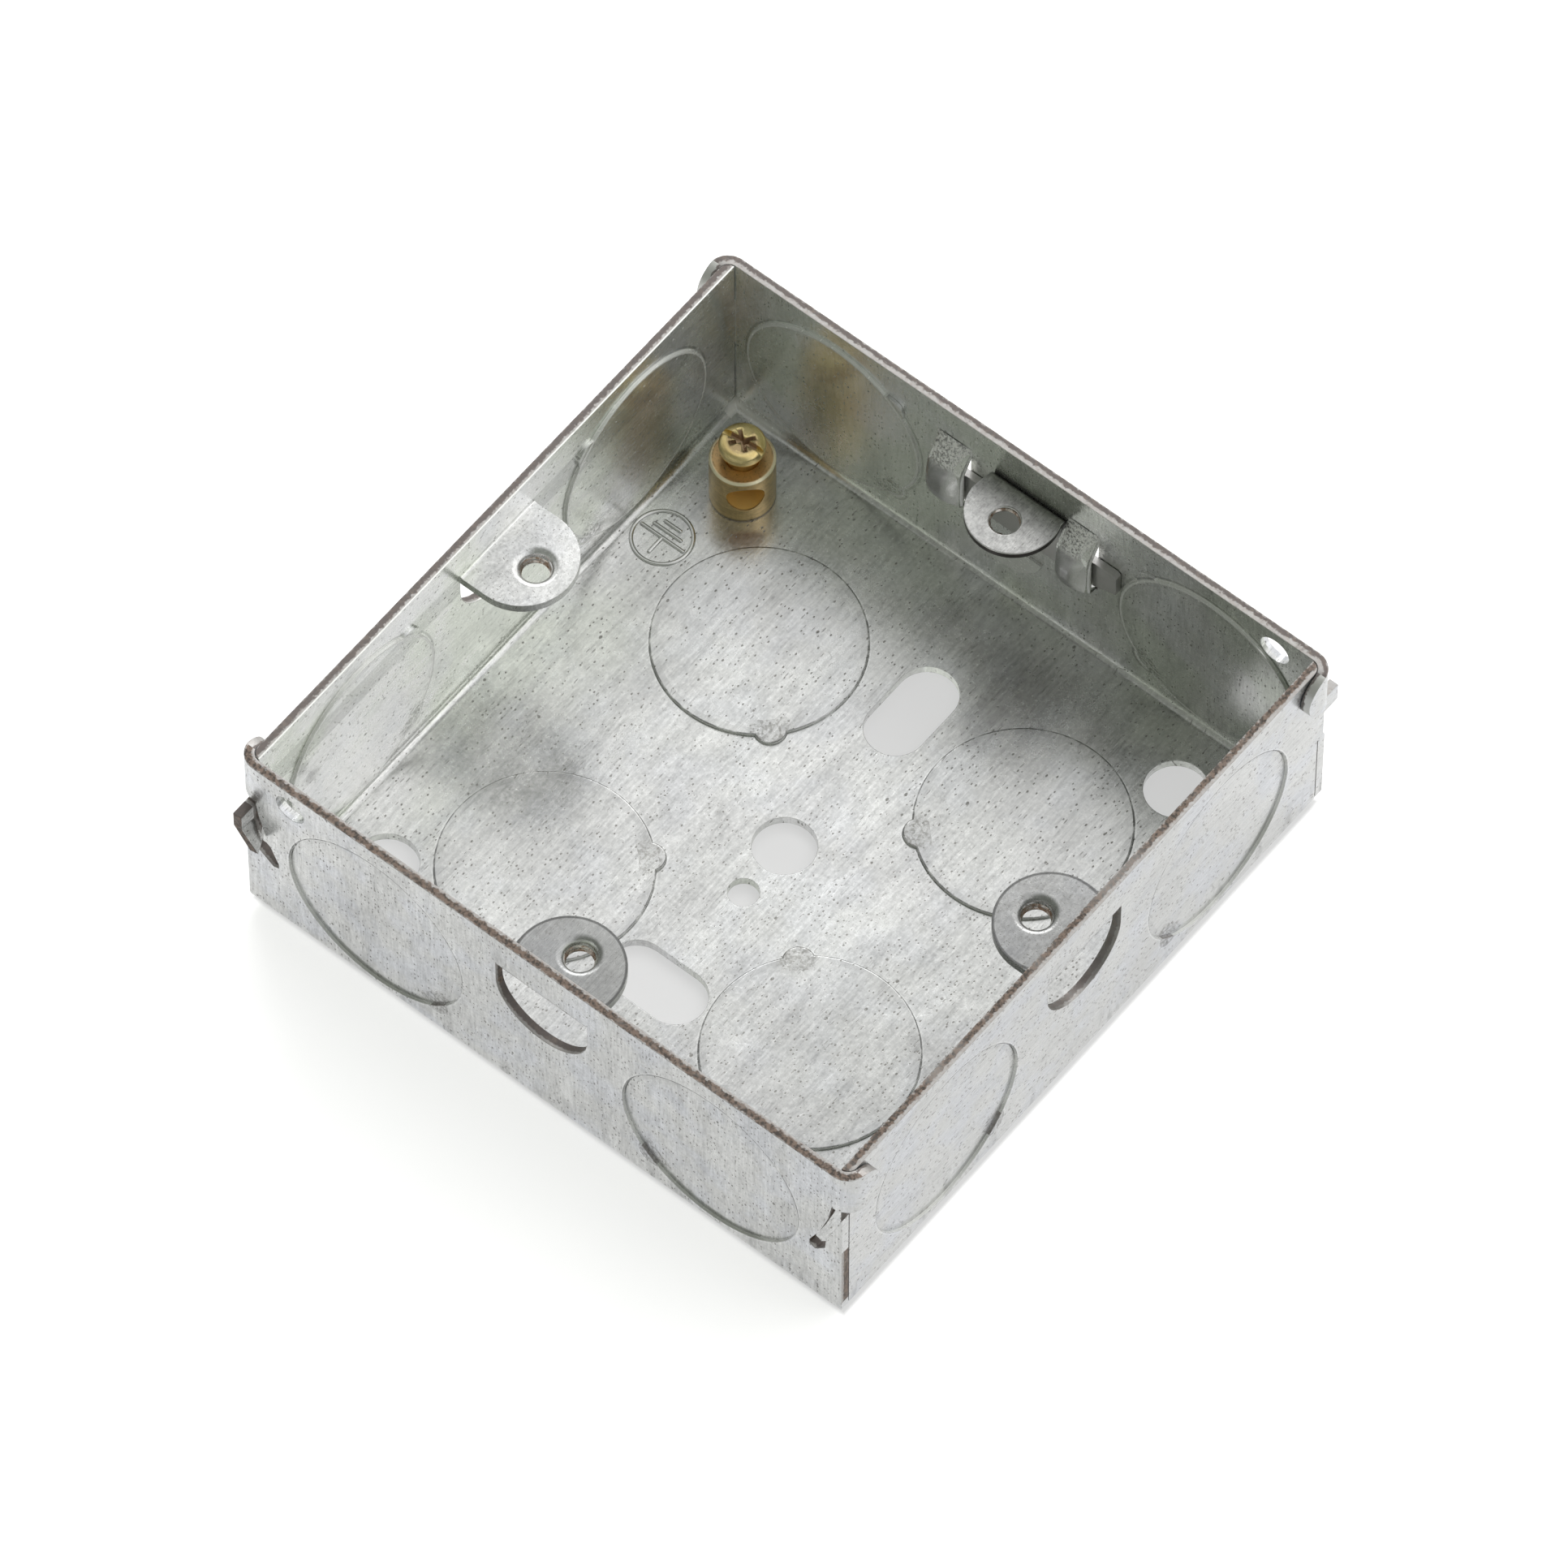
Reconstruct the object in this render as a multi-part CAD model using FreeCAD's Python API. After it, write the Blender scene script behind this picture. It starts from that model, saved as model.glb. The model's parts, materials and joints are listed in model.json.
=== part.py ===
import FreeCAD, Part
import math
import os

# One-gang flush back box folded from galvanised sheet, with a sliding faceplate lug and a brass earth
# terminal. The box lies on its back: +Z runs out of the open side, +X is the wall on the right, and the
# origin is the middle of the back's outer face. Millimetres throughout.
V = FreeCAD.Vector

# Driving dimensions: the folded box
SHEET = 1.0                # sheet thickness
LUG_PITCH = 60.3           # hole to hole across the box, for M3.5 faceplate screws
LUG_SET = 4.7              # a wall's inner face to the centre of its lug's hole
INSIDE_Y = 70.5
DEPTH = 25.3               # back face to rim
BEND_IN = 0.8              # inside radius of the folds round the back
SEAM = 0.12                # open joint where two walls meet at a corner
GRID_Y = -0.35             # the lugs, holes and knockouts centre on this line, just off the box's middle

IX, IY = LUG_PITCH / 2 + LUG_SET, INSIDE_Y / 2
HX, HY = IX + SHEET, IY + SHEET

# Driving dimensions: fixed lugs
LUG_DOWN = 4.6             # rim to their upper face
LUG_HALF = 5.5             # half width, and the radius of the rounded end
LUG_HOLE = 1.5             # radius of the threaded hole at the thread's crest
LUG_COLLAR = 2.35          # outer radius of the extruded collar under the hole
LUG_COLLAR_DROP = 0.9      # how far the collar hangs below the lug
LUG_LIP = 0.8              # the extruded hole's rounded mouth
LUG_FOLD = 0.4             # inside radius of the fold at a lug's root
LUG_REACH = 3.05           # wall's inner face to the centre of the rounded end
LUG_TOP = DEPTH - LUG_DOWN

# Driving dimensions: openings in the back, from the grid's centre or in from two walls
CENTRE_R = 3.15
SMALL_R = 1.55
SMALL_X, SMALL_Y = 0.2, -6.4
SLOT_LONG, SLOT_WIDE = 11.0, 6.2
SLOT_OFF = 19.2
CORNER_R = 3.15
CORNER_NE, CORNER_SW = (9.95, 7.35), (6.75, 9.85)
CORNER_HOLES = [(IX - CORNER_NE[0], IY - CORNER_NE[1]), (CORNER_SW[0] - IX, CORNER_SW[1] - IY)]

# Driving dimensions: small holes high in the -Y and +Y walls
WALL_HOLE_R = 1.7
WALL_HOLE_IN, WALL_HOLE_DOWN = 4.55, 2.9
WALL_HOLE_X, WALL_HOLE_Z = IX - WALL_HOLE_IN, DEPTH - WALL_HOLE_DOWN

# Driving dimensions: corner ears, with a notch below each and a tongue that pokes through it
EAR_TALL = 5.9
EAR_REACH = 4.2
EAR_BEND = 2.2             # outside radius
EAR_GAP = 0.1
NOTCH = [(1.25, 0), (1.65, 2.6), (2.65, 6.0), (3.85, 8.8), (3.85, 9.5), (3.15, 9.8), (1.55, 8.5)]
TONGUE_OUT = 1.75          # how far it stands out of the wall
TONGUE_ROOT = 0.6          # where it starts, inside the wall's inner face
TONGUE_TOP, TONGUE_KNEE, TONGUE_LOW = 1.1, 3.2, 6.3      # depths below the ear
TONGUE_LEAN_IN, TONGUE_LEAN_OUT = 0.5, 1.9               # its lower part leans in, more at its end
TONGUE_SKEW, TONGUE_RISE = 0.35, 0.4                     # its lower edge, across and along
SLIT = NOTCH[:6] + [(2.0, 8.45), (1.85, 6.6), (0, 1.2)]    # where no tongue is pushed through
FAR_NOTCH_DEEP = 7.5       # the +Y wall has plain slots instead, as wide as the sheet and filled by it
FAR_INSET = 0.25           # what fills them stops this far under the outer face
FAR_TONGUE_TOP, FAR_TONGUE_LOW = 0.9, 3.4                # and short straight tongues

# Driving dimensions: the sliding lug, folded over from a flat bar
BAR_T = 0.8
BAR_GAP = 0.06             # bar to wall
BAR_HALF = 11.0
BAR_FLAT = 7.4             # half width of the straight middle of its lower edge
BAR_TAPER = 1.35           # how far its lower edge rises at the ends
BAR_CORNER = 0.35
SLIDE_X = 1.1              # where the sliding lug stands along the wall
ADJ_DOWN = 4.4             # rim to its upper face
ADJ_R = 4.7
ADJ_CENTRE = 2.65          # wall's inner face to the centre of its rounded end
ADJ_HOLE = 3.93            # and to its hole
ADJ_LIP = 0.2
ADJ_BEND = 0.15            # inside radius of its fold
ADJ_NOTCH = 0.55           # relief cut beside the fold
ADJ_TOP = DEPTH - ADJ_DOWN
ADJ_ROOT = ADJ_CENTRE - BAR_GAP - ADJ_BEND - BAR_T       # rounded end's centre to the fold
WEB_HALF = math.sqrt(ADJ_R ** 2 - ADJ_ROOT ** 2)

# Driving dimensions: bridge straps pressed inwards on the +Y wall, which the bar slides behind
STRAP_DOWN, STRAP_TALL = 4.2, 9.3      # rim to a strap's top, and its height
STRAP_T = 0.8
BAR_FREE = 0.09            # bar to strap
BAR_OVER, BAR_UNDER = 0.2, 0.1         # free height above the bar and below it
STRAP_ROOT = 0.55          # sheet left, measured upright, where a strap runs into the wall
STRAP_SINK = 0.3           # its slopes start this far inside the sheet
STRAP_SLOPE = 2.6          # height over which a strap leaves the wall at its top
STRAP_TURN = 1.0           # and at its bottom
STRAP_CURVE_TOP, STRAP_CURVE_LOW = 1.6, 1.1
STRAP_CORNERS = (1.5, 1.0)             # its lower corners, left and right
STRAP_WIDE = (3.8, 3.7)
STRAP_CLEAR = (2.8, 0.1)               # from the sliding lug to each strap, left and right
STRAP_TOP, STRAP_BOTTOM = DEPTH - STRAP_DOWN, DEPTH - STRAP_DOWN - STRAP_TALL
STRAP_BACK = BAR_GAP + BAR_T + BAR_FREE
STRAP_LEFT = SLIDE_X - WEB_HALF - STRAP_CLEAR[0] - STRAP_WIDE[0]
STRAP_RIGHT = SLIDE_X + WEB_HALF + STRAP_CLEAR[1]
BAR_TOP = STRAP_TOP - STRAP_ROOT - STRAP_SLOPE - BAR_OVER
BAR_LOW = STRAP_BOTTOM + STRAP_ROOT + STRAP_TURN + BAR_UNDER

# Driving dimensions: knockouts, each disc half sheared inwards and held by round ties
KO_R = 10.5
KO_STEP = 0.3
KO_FLOOR_IN = (18.75, 19.15)           # in from the walls
KO_BAR = 0.1               # those on the +Y wall stand clear of the bar
KO_BELOW = 0.15            # below mid depth
KO_FLOOR = (IX - KO_FLOOR_IN[0], IY - KO_FLOOR_IN[1])
KO_WALL_X, KO_WALL_Y = (LUG_HALF + IX) / 2, (LUG_HALF + IY) / 2
KO_WALL_NORTH = SLIDE_X + BAR_HALF + KO_R + KO_BAR
KO_Z = DEPTH / 2 - KO_BELOW
PIP_R = 1.6
PIP_IN = 0.6               # a tie's centre, inside the disc's edge

# Driving dimensions: the shallow half round pressed into the +Y wall under the sliding lug
MARK_X, MARK_DOWN, MARK_R = -2.1, 14.9, 4.9
MARK_CUT = 0.8             # its straight upper edge, below its centre
MARK_RISE = 0.3
MARK_Z = DEPTH - MARK_DOWN

# Driving dimensions: brass earth terminal and its screw
TERM_IN = (6.95, 7.5)      # in from two walls
TERM_R = 3.24
TERM_H = 6.55
TERM_EDGE = 0.2
SPIGOT_R = 1.9             # rivet through the back
CROSS_R = 1.85             # wire hole, square to the box's diagonal
CROSS_UP = 3.75            # its centre above the box's floor
CROSS_AZ = 45.0
SCREW_R = 1.73
SCREW_FIT = 0.02           # thread clearance
SCREW_CLEAR = 0.05         # its tip above the wire hole
HEAD_R = 2.3
HEAD_T = 1.3
HEAD_OFF = 1.6             # the head stands off the pillar
HEAD_ROUND, HEAD_EDGE = 0.55, 0.2
DRIVE_WIDE, DRIVE_DEEP = 0.6, 0.7
DRIVE_TURN = -85.0
TERM_X, TERM_Y = TERM_IN[0] - IX, IY - TERM_IN[1]
CROSS_Z = SHEET + CROSS_UP
SCREW_TIP = CROSS_Z + CROSS_R + SCREW_CLEAR
HEAD_LOW = SHEET + TERM_H + HEAD_OFF

EAR_BOTTOM = DEPTH - EAR_TALL
THROUGH = 4.0              # a cutter's length through the sheet
LAP = 0.1                  # how far a pressed form starts inside the sheet that carries it
EPS = 0.02


def block(x0, x1, y0, y1, z0, z1):
    return Part.makeBox(x1 - x0, y1 - y0, z1 - z0, V(x0, y0, z0))


def rod(r, h, at, axis=V(0, 0, 1)):
    return Part.makeCylinder(r, h, at, axis)


def prism(points, along):
    wire = Part.makePolygon([V(*p) for p in points] + [V(*points[0])])
    return Part.Face(wire).extrude(V(*along))


def join(solids):
    out = solids[0]
    for s in solids[1:]:
        out = out.fuse(s)
    return out


def mirrored_x(shape):
    return shape.mirror(V(0, 0, 0), V(1, 0, 0))


def mirrored_y(shape):
    return shape.mirror(V(0, 0, 0), V(0, 1, 0))


def near(a, b):
    return abs(a - b) < EPS


# Rounds every straight edge whose two ends pass the test
def edges_at(shape, test, r):
    picked = [e for e in shape.Edges if all(test(v.Point) for v in e.Vertexes)]
    return shape.makeFillet(r, picked)


# The round edge at height z: the longest there, or the one that runs round a given axis
def ring_at(shape, z, about=None):
    rings = [e for e in shape.Edges if e.BoundBox.ZLength < EPS and near(e.BoundBox.ZMin, z)]
    if about is not None:
        rings = [e for e in rings if e.Closed and math.hypot(e.BoundBox.Center.x - about.x,
                                                             e.BoundBox.Center.y - about.y) < EPS]
    return max(rings, key=lambda e: e.Length)


# Puts a shape on a wall. It is drawn with X along the wall, Y = 0 on the inner face and Y inwards.
def on_wall(shape, wall):
    turn, move = {"S": (0, V(0, -IY, 0)), "E": (90, V(IX, GRID_Y, 0)),
                  "N": (180, V(0, IY, 0)), "W": (-90, V(-IX, GRID_Y, 0))}[wall]
    out = shape.copy()
    out.rotate(V(0, 0, 0), V(0, 0, 1), turn)
    out.translate(move)
    return out


# The tray: a folded sheet, rounded along the four folds of the back
def tray():
    outer = block(-HX, HX, -HY, HY, 0, DEPTH)
    outer = edges_at(outer, lambda p: near(p.z, 0), BEND_IN + SHEET)
    inner = block(-IX, IX, -IY, IY, SHEET, DEPTH + 2 * BEND_IN)
    inner = edges_at(inner, lambda p: near(p.z, SHEET), BEND_IN)
    out = outer.cut(inner)
    for sx in (-1, 1):
        for sy in (-1, 1):
            x0, x1 = sorted((sx * (IX - EPS), sx * (HX + EPS)))
            y0, y1 = sorted((sy * IY, sy * (IY - SEAM)))
            out = out.cut(block(x0, x1, y0, y1, SHEET + BEND_IN, DEPTH + EPS))
    return out


# One knockout about a point on a face whose inward side is +Z: what is cut behind it, and what stands proud
def knockout(pips):
    recess = rod(KO_R, KO_STEP + SHEET, V(0, 0, -2 * SHEET))
    boss = [rod(KO_R, KO_STEP + LAP, V(0, 0, -LAP))]
    boss += [rod(PIP_R, KO_STEP + LAP, V(x, y, -LAP)) for x, y in pips]
    return recess, join(boss)


def all_knockouts():
    out = []
    d = (KO_R - PIP_IN) * math.sqrt(0.5)
    for sx in (-1, 1):
        for sy in (-1, 1):
            pair = knockout([(-sx * d, -sy * d)])
            for shape in pair:
                shape.translate(V(sx * KO_FLOOR[0], GRID_Y + sy * KO_FLOOR[1], SHEET))
            out.append(pair)
    for wall, along in (("S", KO_WALL_X), ("E", KO_WALL_Y), ("W", KO_WALL_Y), ("N", KO_WALL_NORTH)):
        for side in (-1, 1):
            pair = knockout([(-side * d, -d), (side * d, d)])
            for shape in pair:
                shape.rotate(V(0, 0, 0), V(1, 0, 0), -90)
                shape.translate(V(side * along, 0, KO_Z))
            out.append([on_wall(shape, wall) for shape in pair])
    return out


# A slot with round ends through the back, along X or turned along Y
def stadium(at, turn):
    a, r = (SLOT_LONG - SLOT_WIDE) / 2, SLOT_WIDE / 2
    out = join([block(-a, a, -r, r, 0, THROUGH)] + [rod(r, THROUGH, V(k * a, 0, 0)) for k in (-1, 1)])
    out.rotate(V(0, 0, 0), V(0, 0, 1), turn)
    out.translate(at)
    return out


# A fixed lug in a wall's own frame: a half disc folded inwards, its extruded and threaded hole, and the
# window that it leaves, square at the top and half round below
def fixed_lug():
    w, low = LUG_HALF, LUG_TOP - SHEET
    fold = LUG_TOP + LUG_FOLD
    bend = rod(LUG_FOLD + SHEET, 2 * w, V(-w, LUG_FOLD, fold), V(1, 0, 0))
    bend = bend.cut(rod(LUG_FOLD, 2 * w, V(-w, LUG_FOLD, fold), V(1, 0, 0)))
    bend = bend.common(block(-w, w, -SHEET, LUG_FOLD, low, fold))
    flat = block(-w, w, LUG_FOLD, LUG_REACH, low, LUG_TOP).fuse(rod(w, SHEET, V(0, LUG_REACH, low)))
    flat = flat.common(block(-w, w, LUG_FOLD, LUG_REACH + w, low, LUG_TOP))
    hole = V(0, LUG_SET, LUG_TOP)
    drop = V(0, 0, SHEET + LUG_COLLAR_DROP)
    body = join([bend, flat, rod(LUG_COLLAR, drop.z, hole - drop)]).removeSplitter()
    body = body.cut(rod(LUG_HOLE, drop.z + 2 * EPS, hole - drop - V(0, 0, EPS)))
    body = body.makeFillet(LUG_LIP, [ring_at(body, LUG_TOP, hole)])
    round_z = fold - LUG_REACH
    window = rod(w, SHEET + 2 * EPS, V(0, -SHEET - EPS, round_z), V(0, 1, 0))
    window = window.common(block(-w, w, -SHEET - EPS, EPS, round_z - w, round_z))
    return body, window.fuse(block(-w, w, -SHEET - EPS, EPS, round_z, fold))


# An ear: the end of the +Y or -Y wall, bent round the outside of its neighbour (drawn at +X, -Y)
def ear():
    r = EAR_TALL / 2
    xo, yc, zc = HX + EAR_GAP + SHEET, -HY + EAR_REACH - r, EAR_BOTTOM + r
    x0, y1 = HX - EAR_BEND - SHEET, -HY + EAR_REACH + 1
    outer = block(x0, xo, -HY, y1, EAR_BOTTOM, DEPTH)
    outer = edges_at(outer, lambda p: near(p.x, xo) and near(p.y, -HY), EAR_BEND)
    inner = block(x0 - 1, xo - SHEET, -IY, y1 + 1, EAR_BOTTOM - 1, DEPTH + 1)
    inner = edges_at(inner, lambda p: near(p.x, xo - SHEET) and near(p.y, -IY), EAR_BEND - SHEET)
    keep = block(x0, xo, -HY, yc, EAR_BOTTOM, DEPTH).fuse(rod(r, xo - x0, V(x0, yc, zc), V(1, 0, 0)))
    return outer.cut(inner).common(keep)


# What an ear's bend takes off the tray: the square end of its own wall, and its neighbour's outer corner
def ear_room():
    own = block(HX - EAR_BEND, HX + EPS, -HY - EPS, -IY, EAR_BOTTOM, DEPTH + EPS)
    end = -IY + SEAM
    corner = block(IX, HX + EPS, end - EPS, end + SHEET, EAR_BOTTOM, DEPTH + EPS)
    return own.fuse(corner.cut(rod(SHEET, DEPTH, V(IX, end + SHEET, 0))))


# The notch under an ear, through the +Y or -Y wall (drawn at +X, -Y)
def notch(border):
    edge = [(HX - inwards, EAR_BOTTOM - down) for inwards, down in [(-1, 0)] + border + [(-1, border[-1][1])]]
    return prism([(x, -HY - EPS, z) for x, z in edge], (0, SHEET + 2 * EPS, 0))


# The tongue: the end of the +X or -X wall, pushed through the notch and dressed over (drawn at +X, -Y)
def tongue():
    top, knee, low = [EAR_BOTTOM - down for down in (TONGUE_TOP, TONGUE_KNEE, TONGUE_LOW)]

    def section(y, lean, rise):
        pts = [(HX, top), (IX, top), (IX, knee), (IX - lean, low + rise + TONGUE_SKEW),
               (HX - lean, low + rise), (HX, knee)]
        return Part.makePolygon([V(x, y, z) for x, z in pts] + [V(pts[0][0], y, pts[0][1])])

    root = section(-IY + TONGUE_ROOT, 0.0, 0.0)
    middle = section(-IY, TONGUE_LEAN_IN, 0.0)
    end = section(-HY - TONGUE_OUT, TONGUE_LEAN_OUT, TONGUE_RISE)
    return Part.makeLoft([root, middle], True, True).fuse(Part.makeLoft([middle, end], True, True))


# The slot and the short tongue at the +Y wall's ends (drawn at +X, -Y)
def far_notch():
    return block(IX, HX + EPS, -HY - EPS, -IY + EPS, EAR_BOTTOM - FAR_NOTCH_DEEP, EAR_BOTTOM)


def far_tongue():
    root = block(IX, HX, FAR_INSET - HY, TONGUE_ROOT - IY, EAR_BOTTOM - FAR_NOTCH_DEEP, EAR_BOTTOM)
    return root.fuse(block(IX, HX, -HY - TONGUE_OUT, TONGUE_ROOT - IY,
                           EAR_BOTTOM - FAR_TONGUE_LOW, EAR_BOTTOM - FAR_TONGUE_TOP))


# A bridge strap on the +Y wall and the window behind it, with room for the bar
def strap(x0, x1):
    mid_z = (STRAP_TOP + STRAP_BOTTOM) / 2

    def bulge(depth, root, side, r_top, r_low):
        top, low = STRAP_TOP - root, STRAP_BOTTOM + root
        pts = [(-SHEET, top), (-STRAP_SINK, top), (depth, top - STRAP_SLOPE), (depth, low + STRAP_TURN),
               (-STRAP_SINK, low), (-SHEET, low)]
        out = prism([(x0 - side, IY - n, z) for n, z in pts], (x1 - x0 + 2 * side, 0, 0))
        out = edges_at(out, lambda p: near(p.y, IY - depth) and p.z > mid_z, r_top)
        return edges_at(out, lambda p: near(p.y, IY - depth) and p.z < mid_z, r_low)

    depth = STRAP_BACK + STRAP_T
    body = bulge(depth, 0, 0, STRAP_CURVE_TOP, STRAP_CURVE_LOW)
    hollow = bulge(STRAP_BACK, STRAP_ROOT, 1, STRAP_CURVE_TOP - STRAP_T, STRAP_CURVE_LOW - STRAP_T)
    plate = block(x0, x1, IY - depth, HY, STRAP_BOTTOM, STRAP_TOP)
    for x, r in zip((x0, x1), STRAP_CORNERS):
        plate = edges_at(plate, lambda p: near(p.z, STRAP_BOTTOM) and near(p.x, x), r)
    window = block(x0, x1, IY - EPS, HY + EPS, STRAP_BOTTOM, STRAP_TOP)
    return body.cut(hollow).common(plate), window


# A shallow half round pressed inwards under the sliding lug, straight along its top
def pressed_mark():
    x0, x1 = MARK_X - MARK_R, MARK_X + MARK_R
    disc = rod(MARK_R, MARK_RISE + LAP, V(MARK_X, IY + LAP, MARK_Z), V(0, -1, 0))
    return disc.common(block(x0, x1, IY - MARK_RISE, IY + LAP, 0, MARK_Z - MARK_CUT))


def box_shape():
    out = tray()
    inside = block(-IX - LAP, IX + LAP, -IY - LAP, IY + LAP, 0, DEPTH)
    for recess, boss in all_knockouts():
        out = out.cut(recess).fuse(boss.common(inside))
    holes = [rod(CENTRE_R, THROUGH, V(0, GRID_Y, -1)),
             rod(SMALL_R, THROUGH, V(SMALL_X, GRID_Y + SMALL_Y, -1)),
             stadium(V(0, GRID_Y + SLOT_OFF, -1), 90), stadium(V(0, GRID_Y - SLOT_OFF, -1), 0),
             rod(SPIGOT_R, THROUGH, V(TERM_X, TERM_Y, -1)),
             rod(WALL_HOLE_R, THROUGH, V(-WALL_HOLE_X, -IY + 1, WALL_HOLE_Z), V(0, -1, 0)),
             rod(WALL_HOLE_R, THROUGH, V(WALL_HOLE_X, IY - 1, WALL_HOLE_Z), V(0, 1, 0))]
    holes += [rod(CORNER_R, THROUGH, V(x, y, -1)) for x, y in CORNER_HOLES]
    for h in holes:
        out = out.cut(h)
    for x0, wide in zip((STRAP_LEFT, STRAP_RIGHT), STRAP_WIDE):
        body, window = strap(x0, x0 + wide)
        out = out.cut(window).fuse(body)
    out = out.fuse(pressed_mark())
    corners = {(False, False): (notch(SLIT), ear()), (True, False): (notch(NOTCH), ear().fuse(tongue()))}
    for flip_x in (False, True):
        corners[flip_x, True] = far_notch(), ear().fuse(far_tongue())
    for flip_x in (False, True):
        for flip_y in (False, True):
            c, a = corners[flip_x, flip_y]
            c = c.fuse(ear_room())
            if flip_x:
                c, a = mirrored_x(c), mirrored_x(a)
            if flip_y:
                c, a = mirrored_y(c), mirrored_y(a)
            out = out.cut(c).fuse(a)
    body, window = fixed_lug()
    for wall in "WSE":
        out = out.cut(on_wall(window, wall)).fuse(on_wall(body, wall))
    return out.removeSplitter()


# The sliding lug: a flat bar that runs under the straps, with a half disc folded in over it
def adjustable_lug():
    y_back = IY - BAR_GAP
    y_front = y_back - BAR_T
    half_bar = [(0, BAR_LOW), (BAR_FLAT, BAR_LOW), (BAR_HALF, BAR_LOW + BAR_TAPER),
                (BAR_HALF, BAR_TOP - BAR_CORNER), (BAR_HALF - BAR_CORNER, BAR_TOP), (0, BAR_TOP)]
    bar = join([prism([(SLIDE_X + side * x, y_front, z) for x, z in half_bar], (0, BAR_T, 0))
                for side in (-1, 1)])
    outer_bend = ADJ_BEND + BAR_T
    zc, yc = ADJ_TOP - outer_bend, y_back - outer_bend
    x0, x1 = SLIDE_X - WEB_HALF, SLIDE_X + WEB_HALF
    web = block(x0, x1, y_front, y_back, BAR_LOW, zc)
    bend = rod(outer_bend, x1 - x0, V(x0, yc, zc), V(1, 0, 0))
    bend = bend.cut(rod(ADJ_BEND, x1 - x0, V(x0, yc, zc), V(1, 0, 0)))
    bend = bend.common(block(x0, x1, yc, y_back, zc, ADJ_TOP))
    plate = rod(ADJ_R, BAR_T, V(SLIDE_X, IY - ADJ_CENTRE, ADJ_TOP - BAR_T))
    plate = plate.common(block(x0 - ADJ_R, x1 + ADJ_R, IY - ADJ_CENTRE - ADJ_R, yc, 0, DEPTH))
    out = join([bar, web, bend, plate])
    for xa in (x0 - ADJ_NOTCH, x1):
        out = out.cut(block(xa, xa + ADJ_NOTCH, y_front - 1, y_back + 1, BAR_TOP - ADJ_NOTCH, BAR_TOP + 1))
    hole = V(SLIDE_X, IY - ADJ_HOLE, ADJ_TOP)
    out = out.cut(rod(LUG_HOLE, 2 * BAR_T, hole - V(0, 0, 1.5 * BAR_T))).removeSplitter()
    return out.makeFillet(ADJ_LIP, [ring_at(out, ADJ_TOP, hole)])


# Brass pillar: riveted through the back, drilled across for the wire and down for the screw
def earth_terminal():
    middle = V(TERM_X, TERM_Y, 0)
    body = rod(TERM_R, TERM_H, middle + V(0, 0, SHEET))
    body = body.makeChamfer(TERM_EDGE, [ring_at(body, SHEET + TERM_H)])
    body = body.fuse(rod(SPIGOT_R, SHEET, middle))
    a = math.radians(CROSS_AZ)
    across = V(math.sin(a), -math.cos(a), 0)
    body = body.cut(rod(CROSS_R, 4 * TERM_R, middle + V(0, 0, CROSS_Z) - across * (2 * TERM_R), across))
    return body.cut(rod(SCREW_R + SCREW_FIT, TERM_H, middle + V(0, 0, CROSS_Z)))


# Its pan head screw, backed off so that a wire could go in
def terminal_screw():
    top = HEAD_LOW + HEAD_T
    shank = rod(SCREW_R, HEAD_LOW - SCREW_TIP + HEAD_EDGE, V(TERM_X, TERM_Y, SCREW_TIP))
    head = rod(HEAD_R, HEAD_T, V(TERM_X, TERM_Y, HEAD_LOW))
    head = head.makeFillet(HEAD_ROUND, [ring_at(head, top)])
    head = head.makeFillet(HEAD_EDGE, [ring_at(head, HEAD_LOW)])
    drive = block(-DRIVE_WIDE / 2, DRIVE_WIDE / 2, -HEAD_R - 1, HEAD_R + 1, 0, HEAD_T)
    drive.rotate(V(0, 0, 0), V(0, 0, 1), DRIVE_TURN)
    drive.translate(V(TERM_X, TERM_Y, top - DRIVE_DEEP))
    return shank.fuse(head).cut(drive).removeSplitter()


parts = {
    "back_box": box_shape(),
    "adjustable_lug": adjustable_lug(),
    "earth_terminal": earth_terminal(),
    "terminal_screw": terminal_screw(),
}

os.makedirs("parts", exist_ok=True)
for name, shape in parts.items():
    solid = shape.Solids[0] if len(shape.Solids) == 1 else shape
    bounds = shape.BoundBox
    print(name, "solids", len(shape.Solids), "valid", shape.isValid(), "volume", round(shape.Volume, 2))
    print("  x", round(bounds.XMin, 3), round(bounds.XMax, 3), "y", round(bounds.YMin, 3),
          round(bounds.YMax, 3), "z", round(bounds.ZMin, 3), round(bounds.ZMax, 3))
    solid.exportStep("parts/" + name + ".step")
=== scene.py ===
# %% [markdown]
# # A flush back box of folded galvanised sheet
#
# The real box is pressed and folded from 1 mm zinc-coated steel. It has round knockouts in every wall, four tapped
# lugs for a faceplate and a brass earth terminal in one corner. The measured model already holds every fold, hole
# and joint, so this lesson adds what a measured model leaves out: the zinc skin, the torn brown edges of the cut
# sheet, the threads in the lugs, the raised earth symbol and the drive of the terminal screw.

# %% Loading the measured model
import json
import math
from types import SimpleNamespace
import bmesh
import bpy
from mathutils import Matrix, Vector


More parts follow.
